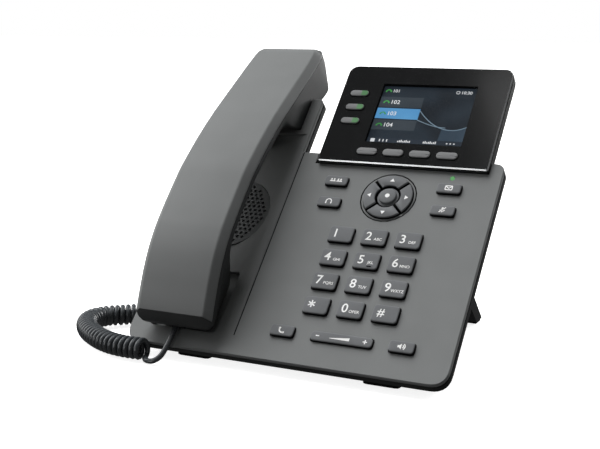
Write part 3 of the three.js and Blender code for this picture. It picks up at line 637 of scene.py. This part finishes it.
def soft_corner(before, corner, after, radius, steps=4):
    """Points rounding a corner of every section at once: a quadratic through corner +- radius."""
    to = before - corner
    fro = after - corner
    reach_to = np.minimum(radius, 0.45 * np.linalg.norm(to, axis=1, keepdims=True))
    reach_fro = np.minimum(radius, 0.45 * np.linalg.norm(fro, axis=1, keepdims=True))
    start = corner + to / np.maximum(np.linalg.norm(to, axis=1, keepdims=True), 1e-9) * reach_to
    end = corner + fro / np.maximum(np.linalg.norm(fro, axis=1, keepdims=True), 1e-9) * reach_fro
    return [(1 - t) ** 2 * start + 2 * t * (1 - t) * corner + t ** 2 * end for t in np.linspace(0, 1, steps)]


def across(x, z):
    """Section points at x from the middle and height z, for every station."""
    x, z = np.broadcast_arrays(np.asarray(x, float), np.asarray(z, float))
    return np.stack([x, z], -1)


def handset_shell(name, first, last, is_front, material, nodes):
    """A C-shaped wall: the outer section from seam to seam, then the same way back inside. Within a few
    millimetres of either end the inside moves out to the seam, which leaves the end solid; before the front
    shell begins, the back shell rises to the full section."""
    table = handset_stations(first, last)
    place, half, top, side, low, low_half = table.T
    open_inside = (np.clip((place - 13) / 3, 0, 1) * np.clip((205 - place) / 3, 0, 1))[:, None]
    nose = (place < NOSE_END)[:, None]
    drop = np.minimum(CHAMFER_DROP, (top - side) * 0.5)
    seam = top - np.minimum(SEAM_DROP, (top - side) * 0.6)
    wall = np.minimum(HANDSET_WALL, 0.3 * (top - low))
    if is_front:
        edge, crease, crown = across(half, seam), across(half, top - drop), across(half - CHAMFER_SIDE, top)
        middle = across(0 * top, top + 0.25)
        outer = [edge, *soft_corner(edge, crease, crown, 0.7), *soft_corner(crease, crown, middle, 0.9)]
        lid = across(half - CHAMFER_SIDE - wall * 0.4, top - wall)
        inner = [across(half - wall, seam), across(half - wall, top - drop - wall * 0.2), lid]
        solid = [across(half * share, seam) for share in (0.9, 0.6, 0.3)]
    else:
        edge, foot = across(half, seam - 0.3), across(half, side)
        bend = across(low_half + 0.4 * (half - low_half), low + 0.35 * (side - low))
        sole = across(low_half, low)
        middle = across(0 * top, low)
        outer = [edge, *soft_corner(edge, foot, bend, 2.2), *soft_corner(foot, bend, sole, 1.6),
                 *soft_corner(bend, sole, middle, 1.6)]
        inner = [across(half - wall, seam - 0.3), across(half - wall, side),
                 across(low_half - wall * 0.5, low + wall)]
        flat = [across(half * share, seam - 0.3) for share in (0.9, 0.6, 0.3)]
        full = [across(half, top - drop), across(half - CHAMFER_SIDE, top), across(0.3 * half, top)]
        solid = [np.where(nose, b, a) for a, b in zip(flat, full)]
    inner = [s + open_inside * (p - s) for s, p in zip(solid, inner)]
    mirror = np.array([-1, 1])
    around = [*outer, *[p * mirror for p in outer[::-1]], *[p * mirror for p in inner], *inner[::-1]]
    section = np.stack(around, 1)
    if not is_front:
        section = section[:, ::-1]
    rings = np.stack([CRADLE_X + section[..., 0], np.broadcast_to(place[:, None], section.shape[:2]),
                      section[..., 1]], -1)
    points, faces = loft(rings[::-1])
    made = piece(name, PANEL.place(points), faces, [material], "handset")
    bevel(made, 0.35, 40)
    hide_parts(*nodes)


handset_shell("handset_top_shell", 11.8, HANDSET_END, True, HANDSET_ABS, ["handset_front_shell"])
# The under shell takes the handset grey darkened as painted shade.
handset_shell("handset_under_shell", 8.6, HANDSET_END, False, UNDERSIDE_GREY_PAINTED_SHADE, ["handset_back_shell"])


# --- Keys and their printing ----------------------------------------------------------------------


def ribbon(points, width, closed=False):
    """A flat stroke: the polyline offset by half the width to either side."""
    p = np.asarray(points, float)
    if closed:
        p = np.concatenate([p, p[:1]])
    ahead = np.gradient(p, axis=0)
    ahead /= np.maximum(np.linalg.norm(ahead, axis=1, keepdims=True), 1e-9)
    side = np.stack([-ahead[:, 1], ahead[:, 0]], -1) * width / 2
    k = np.arange(len(p) - 1)
    n = len(p)
    return np.concatenate([p - side, p + side]), np.stack([k, k + 1, n + k + 1, n + k], -1).tolist()


def blob(outline):
    """A filled flat shape from its outline."""
    return np.asarray(outline, float), [list(range(len(outline)))]


def arc(x, y, radius, start, end, count):
    """Open arc between two angles in degrees: centre + radius (cos a, sin a)."""
    a = np.radians(np.linspace(start, end, count))
    return np.stack([x + radius * np.cos(a), y + radius * np.sin(a)], -1)


def printed(name, marks, on, x, y, z, body, material=WHITE_INK, scale=1.0):
    """Ink laid on a face: flat marks scaled, moved to (x, y) and lifted to height z."""
    points, faces, start = [], [], 0
    for shape, quads in marks:
        points.append(np.asarray(shape)[:, :2] * scale + (x, y))
        faces += [[start + k for k in quad] for quad in quads]
        start += len(shape)
    flat = np.concatenate(points)
    made = piece(name, on.place(at_height(flat, z)), faces, [material], body, smooth=False)
    return made


def lettering(text, size, x, y):
    """Letters as flat marks, size millimetres tall, centred on (x, y)."""
    curve = bpy.data.curves.new("letters", "FONT")
    curve.body = text
    curve.size = size * 1.38
    curve.resolution_u = 3
    curve.offset = 0.018 * size
    drawn = bpy.data.objects.new("letters", curve)
    bpy.context.scene.collection.objects.link(drawn)
    bpy.context.view_layer.update()
    mesh = bpy.data.meshes.new_from_object(drawn)
    bpy.data.objects.remove(drawn)
    points = np.array([v.co[:2] for v in mesh.vertices])
    faces = [list(f.vertices) for f in mesh.polygons]
    bpy.data.meshes.remove(mesh)
    points += (x, y) - (points.min(0) + points.max(0)) / 2
    return points, faces


def key_piece(node_name, outline, foot, top, on, crown=0.12, paint=KEY_PAINT, edge=0.55):
    """A key: black skirt, then a rounded painted top with a slight crown."""
    profile = [(0.9, foot), (0, foot), (0, top - edge - 0.25), (0.03, top - edge), (0.16, top - 0.4 * edge),
               (0.42, top - 0.1 * edge), (edge + 0.25, top)]
    rings = turned_cap(outline, profile, crown)
    points, faces = loft(rings)
    count = len(outline)
    # The skirt takes the black, which also paints the shade on the key's sides.
    slots = np.ones(len(faces), np.int32)
    slots[:3 * count] = 0
    slots[-2] = 0
    body = frame["nodes"][node_name]["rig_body"]
    made = piece(node_name + "_cap", on.place(points), faces, [SKIRT_ABS, paint], body, slots)
    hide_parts(node_name)
    return made


KEY_FLANGE = 1.0  # the CAD key's hidden flange stands out this far all round


def panel_key(node_name, corner):
    """A rounded-rectangle key cut to its CAD node; returns the middle of its face, where the ink is laid."""
    x, y, width, height, foot, top = PANEL.outline_box(node_name, 2 * KEY_FLANGE)
    key_piece(node_name, rounded_rectangle(x, y, width, height, corner, 5), foot, top, PANEL)
    return x, y, top + 0.14


LETTERS = {"2": "ABC", "3": "DEF", "4": "GHI", "5": "JKL", "6": "MNO", "7": "PQRS", "8": "TUV", "9": "WXYZ",
           "0": "OPER"}


def dial_keys():
    """Twelve keys, each with a digit at the left and its letters, smaller, at the lower right."""
    for label in ("1", "2", "3", "4", "5", "6", "7", "8", "9", "star", "0", "hash"):
        name = "key_" + label
        x, y, z = panel_key(name, 1.8)
        if label == "star":
            spokes = [ribbon([(0, 0), (2.2 * math.cos(a), 2.2 * math.sin(a))], 0.75)
                      for a in np.radians(np.arange(90, 450, 60))]
            marks = [(p + (-2.6, 0.4), f) for p, f in spokes]
        elif label == "hash":
            marks = [lettering("#", 4.8, -2.4, 0)]
        else:
            marks = [lettering(label, 5.4, -3.0, 0.3)]
        if label == "5":
            bar = rounded_rectangle(x + 2.4, y - 3.5, 2.6, 0.5, 0.2, 3)
            points, faces = loft(turned_cap(bar, [(0, z - 0.2), (0, z + 0.1), (0.1, z + 0.2)]))
            guide = piece("key_5_guide_bar", PANEL.place(points), faces, [SKIRT_ABS], name)
        if label in LETTERS:
            marks.append(lettering(LETTERS[label], 1.75, 2.6, -1.4))
        printed("print_" + name, marks, PANEL, x, y, z, name)


def handset_glyph():
    """A telephone handset seen from the side: an arc with two pads, turned to lean left."""
    bow = arc(0.2, 0.2, 1.5, 150, 300, 12)
    pads = [blob(rounded_rectangle(x, y, 1.1, 1.1, 0.35, 3)) for x, y in ((-1.25, 1.0), (1.0, -1.25))]
    return [ribbon(bow, 0.75), *pads]


def function_keys():
    """Keys with two pairs of people, a headset, an envelope, a struck-through microphone, a handset and a
    loudspeaker."""
    def head(x):
        return [blob(circle(x, 0.55, 0.5, 10)), blob(arc(x, -0.95, 0.95, 0, 180, 10))]

    headset = [ribbon(arc(0, 0, 1.5, -20, 200, 16), 0.55),
               *(blob(rounded_rectangle(x, -0.75, 0.8, 1.3, 0.3, 3)) for x in (-1.45, 1.45))]
    envelope = [ribbon(rounded_rectangle(0, 0, 3.6, 2.4, 0.3, 3), 0.55, closed=True),
                ribbon([(-1.6, 0.9), (0, -0.3), (1.6, 0.9)], 0.55)]
    mute = [blob(rounded_rectangle(0, 0.6, 1.1, 1.9, 0.5, 4)), ribbon(arc(0, 0.3, 1.2, 190, 350, 10), 0.5),
            ribbon([(0, -0.9), (0, -1.5)], 0.5), ribbon([(-1.6, -1.4), (1.6, 1.6)], 0.55)]
    speaker = [blob([(-1.8, -0.6), (-1.0, -0.6), (0.1, -1.5), (0.1, 1.5), (-1.0, 0.6), (-1.8, 0.6)]),
               ribbon(arc(0.2, 0, 0.9, -55, 55, 8), 0.55), ribbon(arc(0.2, 0, 1.7, -55, 55, 8), 0.55)]
    conference = [*head(-2.6), *head(-1.1), *head(1.1), *head(2.6)]
    glyphs = {"conference_key": conference, "headset_key": headset, "message_key": envelope, "mute_key": mute,
              "call_key": handset_glyph(), "speaker_key": speaker}
    for name, marks in glyphs.items():
        x, y, z = panel_key(name, 1.6)
        printed("print_" + name, marks, PANEL, x, y, z, name, scale=1.08)


def volume_rocker():
    """A long key with a minus, a wedge that grows to the right, and a plus."""
    x, y, width, height, _, top = PANEL.outline_box("volume_rocker", (0, 2 * KEY_FLANGE))
    foot = top - 5.1  # clear of the mat under it when it tilts
    key_piece("volume_rocker", rounded_rectangle(x, y, width, height, 2, 5), foot, top, PANEL, 0.1)
    marks = [ribbon([(-14.2, 0), (-12.2, 0)], 0.6), ribbon([(12.0, 0), (14.4, 0)], 0.6),
             ribbon([(13.2, -1.2), (13.2, 1.2)], 0.6),
             blob([(-6.5, -0.6), (4.6, -0.9), (4.6, 0.9), (-6.5, -0.4)])]
    printed("print_volume_rocker", marks, PANEL, x, y, top + 0.12, "volume_rocker")


NAV_X, NAV_Y = 125.7, 107.9
NAV_OUTER, NAV_INNER = 14.2, 7.4  # radii of the ring of arrow keys
NAV_HALF_GAP = 0.7  # between neighbouring arrow keys


def navigation_keys():
    """Four quarter-ring keys, each a band between two radii with rounded ends, round a domed centre key."""
    for k, name in enumerate(("nav_right", "nav_up", "nav_left", "nav_down")):
        middle = k * math.pi / 2
        ends = [math.pi / 4 - NAV_HALF_GAP / r for r in (NAV_OUTER, NAV_INNER)]
        outer = np.linspace(-ends[0], ends[0], 22) + middle
        inner = np.linspace(ends[1], -ends[1], 14) + middle
        outline = np.concatenate([r * np.stack([np.cos(a), np.sin(a)], -1)
                                  for r, a in ((NAV_OUTER, outer), (NAV_INNER, inner))]) + (NAV_X, NAV_Y)
        low, high = PANEL.measure(name)
        foot, top = low[2], high[2]
        steps = [(0.6, foot), (0, foot), (0, top - 0.75), (0.08, top - 0.4), (0.3, top - 0.1), (0.6, top)]
        centre = (NAV_OUTER + NAV_INNER) / 2 * np.array([math.cos(middle), math.sin(middle)]) + (NAV_X, NAV_Y)
        reach = 5.2  # from the key's middle to its edge, about
        rings = np.stack([at_height(centre + (outline - centre) * (1 - step / reach), z)
                          for step, z in steps])
        points, faces = loft(rings)
        slots = np.ones(len(faces), np.int32)
        slots[:2 * len(outline)] = 0
        made = piece(name + "_cap", PANEL.place(points), faces, [SKIRT_ABS, KEY_PAINT], name, slots)
        bevel(made, 0.15, 50)
        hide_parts(name)
        tip = np.array([[1.3, 0], [-0.8, 1.35], [-0.8, -1.35]])
        turn = np.array([[math.cos(middle), math.sin(middle)], [-math.sin(middle), math.cos(middle)]])
        printed("print_" + name, [blob(tip @ turn)], PANEL, *centre, top + 0.03, name)
    low, high = PANEL.measure("nav_ok")
    radius = (high[0] - low[0]) / 2
    top = high[2] + 0.5
    profile = [(0.9, low[2]), (0, low[2]), (0, 0.3), (0.15, 0.5), (1.1, 0.55), (1.2, top - 0.6),
               (1.35, top - 0.2), (1.8, top)]
    rim = circle(NAV_X, NAV_Y, radius, 48)
    points, faces = loft(turned_cap(rim, profile, 0.2))
    slots = np.ones(len(faces), np.int32)
    slots[:len(rim)] = 0
    centre_key = piece("nav_ok_cap", PANEL.place(points), faces, [SKIRT_ABS, KEY_PAINT], "nav_ok", slots)
    bevel(centre_key, 0.12, 50)
    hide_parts("nav_ok")
    printed("print_nav_ok", [blob(circle(0, 0, 1.35, 20))], PANEL, NAV_X, NAV_Y, top + 0.21, "nav_ok")
    # A thin black ring laid in the groove round the navigation keys: painted shade.
    count = 72
    groove = np.stack([at_height(circle(NAV_X, NAV_Y, r, count), z)
                       for r, z in ((15.55, -0.68), (16.25, -0.68), (16.25, -0.6), (15.55, -0.6))])
    faces = band_faces(4, count) + wall_faces(count, 3 * count, 0)
    made = piece("nav_ring_groove_shade", PANEL.place(groove.reshape(-1, 3)), faces, [GROOVE_SHADE_AND_LCD_BLACK], "base")


dial_keys()
function_keys()
volume_rocker()
navigation_keys()


# --- Display module -------------------------------------------------------------------------------

LCD = (130.65, 36.65, 57.6, 43.2)  # middle of its lit area, width, height
BEZEL_MIDDLE = (127.3, 35.95)
BEZEL_SIZE = (101.6, 71.9)
WINDOW_HOLE = (63.9, 48.9)
BEZEL_DEPTH = 2.0


def display_key(name, lit_share):
    """A pill-shaped key through the bezel, its right end lit on the line keys."""
    x, y, width, height, foot, top = DISPLAY.outline_box(name, 1.4)
    outline = rounded_rectangle(x, y, width, height, height / 2 - 0.05, 7)
    key_piece(name, outline, foot, top, DISPLAY, 0.12, PILL_PAINT, 0.5)
    if lit_share:
        cap = inset(outline, 0.45)
        edge = x + width * (0.5 - lit_share)
        kept = cap[cap[:, 0] >= edge]
        kept = kept[np.argsort(np.arctan2(kept[:, 1] - y, kept[:, 0] - x - width / 4))]
        bound = [(edge, cap[:, 1].max()), (edge, cap[:, 1].min())]
        shape = np.concatenate([kept, bound])
        printed("light_" + name, [blob(shape)], DISPLAY, 0, 0, top + 0.13, name, KEY_GREEN)


def display_bezel():
    """The acrylic front: a flat face with its holes, a silver chamfer, the side wall, the walls of the holes,
    and a black mask in the window hole round the lit area."""
    outline = rounded_rectangle(*BEZEL_MIDDLE, *BEZEL_SIZE, [5.5, 5.5, 1, 1], 8)
    holes = [rounded_rectangle(*LCD[:2], *WINDOW_HOLE, 1, 3)]
    for name in [*(f"line_key_{k}" for k in (1, 2, 3)), *(f"soft_key_{k}" for k in (1, 2, 3, 4))]:
        x, y, width, height, _, _ = DISPLAY.outline_box(name, 0.8)
        holes.append(rounded_rectangle(x, y, width, height, height / 2 - 0.05, 7))
    face = inset(outline, 0.6)
    flat, faces = plate_with_holes(face, holes)
    points = [at_height(flat, 0.0)]
    slots = [0] * len(faces)
    start = len(flat)
    rings = [at_height(face, 0.0), at_height(outline, -0.6), at_height(outline, -BEZEL_DEPTH),
             at_height(inset(outline, 3), -BEZEL_DEPTH)]
    points += rings
    count = len(outline)
    for step in range(3):
        faces += [f[::-1] for f in wall_faces(count, start + step * count, start + (step + 1) * count)]
        slots += [1 if step == 0 else 0] * count
    start += 4 * count
    for hole in holes:
        points += [at_height(hole, 0.0), at_height(hole, -BEZEL_DEPTH)]
        faces += wall_faces(len(hole), start, start + len(hole))
        slots += [0] * len(hole)
        start += 2 * len(hole)
    mask = rounded_rectangle(*LCD[:2], *(side - 0.04 for side in WINDOW_HOLE), 1, 3)
    flat, triangles = plate_with_holes(mask, [rounded_rectangle(*LCD, 0.3, 2)])
    frame_mask = piece("screen_mask", DISPLAY.place(at_height(flat, 0.0)), triangles, [GLOSS_BLACK], "base",
                       smooth=False)
    made = piece("bezel_front", DISPLAY.place(np.concatenate(points)), faces, [GLOSS_BLACK, TRIM_PAINT],
                 "base", slots, smooth=False)
    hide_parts("display_bezel")


SCREEN_LEVEL = -2.26  # just above the LCD panel
PATCH_STEP = 0.03  # from one layer of patches to the next


def screen_mark(name, marks, level, material):
    """A lit patch of the picture, lying just above the panel; level stacks patches over each other."""
    height = SCREEN_LEVEL + PATCH_STEP * level
    made = printed("screen_" + name, marks, DISPLAY, 0, 0, height, "base", material)


def screen_picture():
    """Status line, three call lines with the middle one chosen, a swoosh of two curves, and four labels."""
    left, foot = LCD[0] - LCD[2] / 2, LCD[1] - LCD[3] / 2
    right, head = left + LCD[2], foot + LCD[3]

    def bar(x0, y0, x1, y1):
        return blob([(x0, y0), (x1, y0), (x1, y1), (x0, y1)])

    screen_mark("ground", [bar(left, foot, right, head)], 0, SCREEN_BACK)
    split = left + 26.5
    rows = [(head - 15.6, head - 8.0), (head - 24.2, head - 16.4), (head - 32.4, head - 25.0)]
    plain = [bar(left, low, split, high) for low, high in rows[::2]]
    screen_mark("rows", plain, 1, SCREEN_ROW)
    screen_mark("chosen_row", [bar(left, rows[1][0], split, rows[1][1])], 1, SCREEN_CHOSEN)
    t = np.linspace(0, 1, 24)
    span = right - split
    dip = np.clip(t / 0.7, 0, 1)
    climb = np.clip((t - 0.7) / 0.3, 0, 1)
    drop = 13.2 * (1 - (1 - dip) ** 2) - 3.2 * climb ** 2
    upper = np.stack([split + span * t, rows[1][1] - 1.2 - drop], -1)
    lower = np.stack([split + span * 0.58 * t, rows[1][0] - 0.2 - 4.8 * np.sin(math.pi / 2 * t)], -1)
    halfway = split + span * 0.5
    fill = np.concatenate([upper[upper[:, 0] > halfway], [(right, foot + 4.6), (halfway, foot + 4.6)]])
    screen_mark("wave_fill", [blob(fill)], 1, SCREEN_FILL)
    screen_mark("waves", [ribbon(upper, 0.55), ribbon(lower, 0.5)], 2, SCREEN_WAVE)
    screen_mark("label_bar", [bar(left, foot, right, foot + 4.8)], 2, SCREEN_BAR)
    white = [lettering("101", 2.3, left + 8.2, head - 3.4), lettering("10:30", 2.2, right - 6.2, head - 3.2),
             ribbon(circle(right - 11.6, head - 3.2, 1.0, 16), 0.35, closed=True)]
    for k, (low, high) in enumerate(rows):
        white.append(lettering(str(102 + k), 2.9, left + 10.0, (low + high) / 2))
    for k in range(3):
        white.append(blob(circle(right - 9.5 + 2.1 * k, foot + 3.0, 0.5, 10)))
    white.append(blob(rounded_rectangle(left + 3.4, foot + 3.0, 2.6, 2.4, 0.3, 3)))
    white += [bar(left + 7.4 + 2.2 * k, foot + 2.2, left + 8.0 + 2.2 * k, foot + 3.9) for k in range(3)]
    for start, shift in ((left + 18.6, 0), (left + 34.0, 1)):
        white += [bar(start + k, foot + 2.3, start + k + 0.7, foot + 3.2 + 0.4 * ((k + shift) % 3))
                  for k in range(8)]
    screen_mark("white", white, 3, SCREEN_WHITE)
    green = []
    for x, y in [(left + 3.4, head - 3.4), *((left + 4.2, (low + high) / 2) for low, high in rows)]:
        hook = ribbon(arc(x, y - 0.9, 1.6, 25, 155, 9), 0.75)
        green += [hook, blob(circle(x - 1.5, y - 0.5, 0.55, 8)), blob(circle(x + 1.5, y - 0.5, 0.55, 8))]
    screen_mark("green", green, 3, SCREEN_GREEN)


display_bezel()
for line in (1, 2, 3):
    display_key(f"line_key_{line}", 0.38)
for soft in (1, 2, 3, 4):
    display_key(f"soft_key_{soft}", 0)
screen_picture()


# --- Loudspeaker grille ---------------------------------------------------------------------------


def speaker_grille():
    """A disc pierced by round holes on a hexagonal grid, its wall given by a solidify modifier."""
    x, y, width, _, _, top = PANEL.outline_box("speaker_grille", 0)
    radius = width / 2
    pitch, hole = 3.1, 0.98
    row, column = np.meshgrid(np.arange(-8, 9), np.arange(-8, 9), indexing="ij")
    gx = pitch * (column + 0.5 * (row % 2))
    gy = pitch * math.sqrt(0.75) * row
    inside = np.hypot(gx, gy) < radius - 2.2
    holes = [circle(x + a, y + b, hole, 10) for a, b in zip(gx[inside], gy[inside])]
    flat, faces = plate_with_holes(circle(x, y, radius - 0.1, 72), holes)
    made = piece("grille_disc", PANEL.place(at_height(flat, top)), faces, [GRILLE_ABS], "base", smooth=False)
    wall = made.modifiers.new("wall", "SOLIDIFY")
    wall.thickness = 1.2 * MM
    wall.offset = -1
    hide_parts("speaker_grille")


def groove_painted_shade():
    """The parting groove between the cradle and the keypad: a thin strip of painted shade lying in the
    cover's groove.
    """
    middle, half, level, count = 65, 0.33, -0.12, 30
    path = np.linspace(11.6, 135.6, count)
    strip = np.concatenate([np.stack([np.full(count, middle + side), path, np.full(count, level)], -1)
                            for side in (half, -half)])
    k = np.arange(count - 1)
    faces = np.stack([k, k + 1, k + count + 1, k + count], -1).tolist()
    made = piece("groove_painted_shade", PANEL.place(strip), faces, [GROOVE_SHADE_AND_LCD_BLACK], "base")


BACK_FACE = -24.0


def on_back(outline, profile):
    """Rings of a low boss on the flat back: profile lists (share of the outline's size, height out of it)."""
    turned_round = outline[::-1]
    centre = turned_round.mean(0)
    rings = [at_height(centre + (turned_round - centre) * share, BACK_FACE - height)
             for share, height in profile]
    return np.stack(rings)


def back_details():
    """Four cross-head screws whose slots are painted shade, a block of sound slots drawn as flat painted
    shade, and a blank rating label.
    """
    for k, (x, y) in enumerate(((22, 30), (164, 30), (22, 84), (164, 84))):
        points, faces = loft(on_back(circle(x, y, 3.1, 32), [(1, 0), (1, 0.9), (0.93, 1.15), (0.5, 1.3)]))
        screw = piece(f"back_screw_{k}", PANEL.place(points), faces, [SHIELD_METAL], "base")
        # Each screw's cross slot is two flat black strokes: painted shade for the recess.
        cross = [ribbon([(x - 1.5, y), (x + 1.5, y)], 0.6), ribbon([(x, y - 1.5), (x, y + 1.5)], 0.6)]
        facing_back = [(shape, [quad[::-1] for quad in quads]) for shape, quads in cross]
        made = printed(f"back_screw_slot_shade_{k}", facing_back, PANEL, 0, 0, BACK_FACE - 1.32, "base",
                       GROOVE_SHADE_AND_LCD_BLACK)
    # The sound slots are flat black marks on the back: painted shade for the openings.
    slots = [blob(rounded_rectangle(32, 56 + 3.4 * k, 22, 1.5, 0.7, 5)[::-1]) for k in range(7)]
    made = printed("sound_slot_shade", slots, PANEL, 0, 0, BACK_FACE - 0.04, "base", GROOVE_SHADE_AND_LCD_BLACK)
    label = rounded_rectangle(93, 34, 66, 22, 1.5, 6)
    points, faces = loft(on_back(label, [(1, 0), (1, 0.1), (0.995, 0.14)]))
    piece("rating_label_blank", PANEL.place(points), faces, [LABEL_FILM], "base", smooth=False)


back_details()
speaker_grille()
groove_painted_shade()


# --- Finishes on the CAD nodes that keep their shape ----------------------------------------------

FINISHES = {
    "front_cover": GREY_ABS, "rear_cover": BLACK_ABS, "main_board": BOARD_GREEN, "keypad_mat": SILICONE,
    "message_led": LAMP_GREEN, "speaker_driver": SHIELD_METAL, "hanger_tab": GREY_ABS,
    "hook_plunger": BLACK_ABS, "network_jacks": SHIELD_METAL, "handset_jack": BLACK_ABS,
    "base_plug": PLUG_CLEAR, "display_window": LENS_CLEAR, "lcd_panel": GROOVE_SHADE_AND_LCD_BLACK,
    "display_board": BOARD_GREEN,
    "display_housing": BLACK_ABS, "front_foot_left": FOOT_RUBBER, "front_foot_right": FOOT_RUBBER,
    "stand": BLACK_ABS, "stand_pad": FOOT_RUBBER, "handset_plug": PLUG_CLEAR, "microphone": SHIELD_METAL,
    "earpiece_receiver": BLACK_ABS,
}
for name, cad in frame["nodes"].items():
    finish = FINISHES.get(name, BLACK_ABS)
    if not cad.material_slots:
        cad.data.materials.append(finish)
    for held in cad.material_slots:
        held.link = "OBJECT"
        held.material = finish
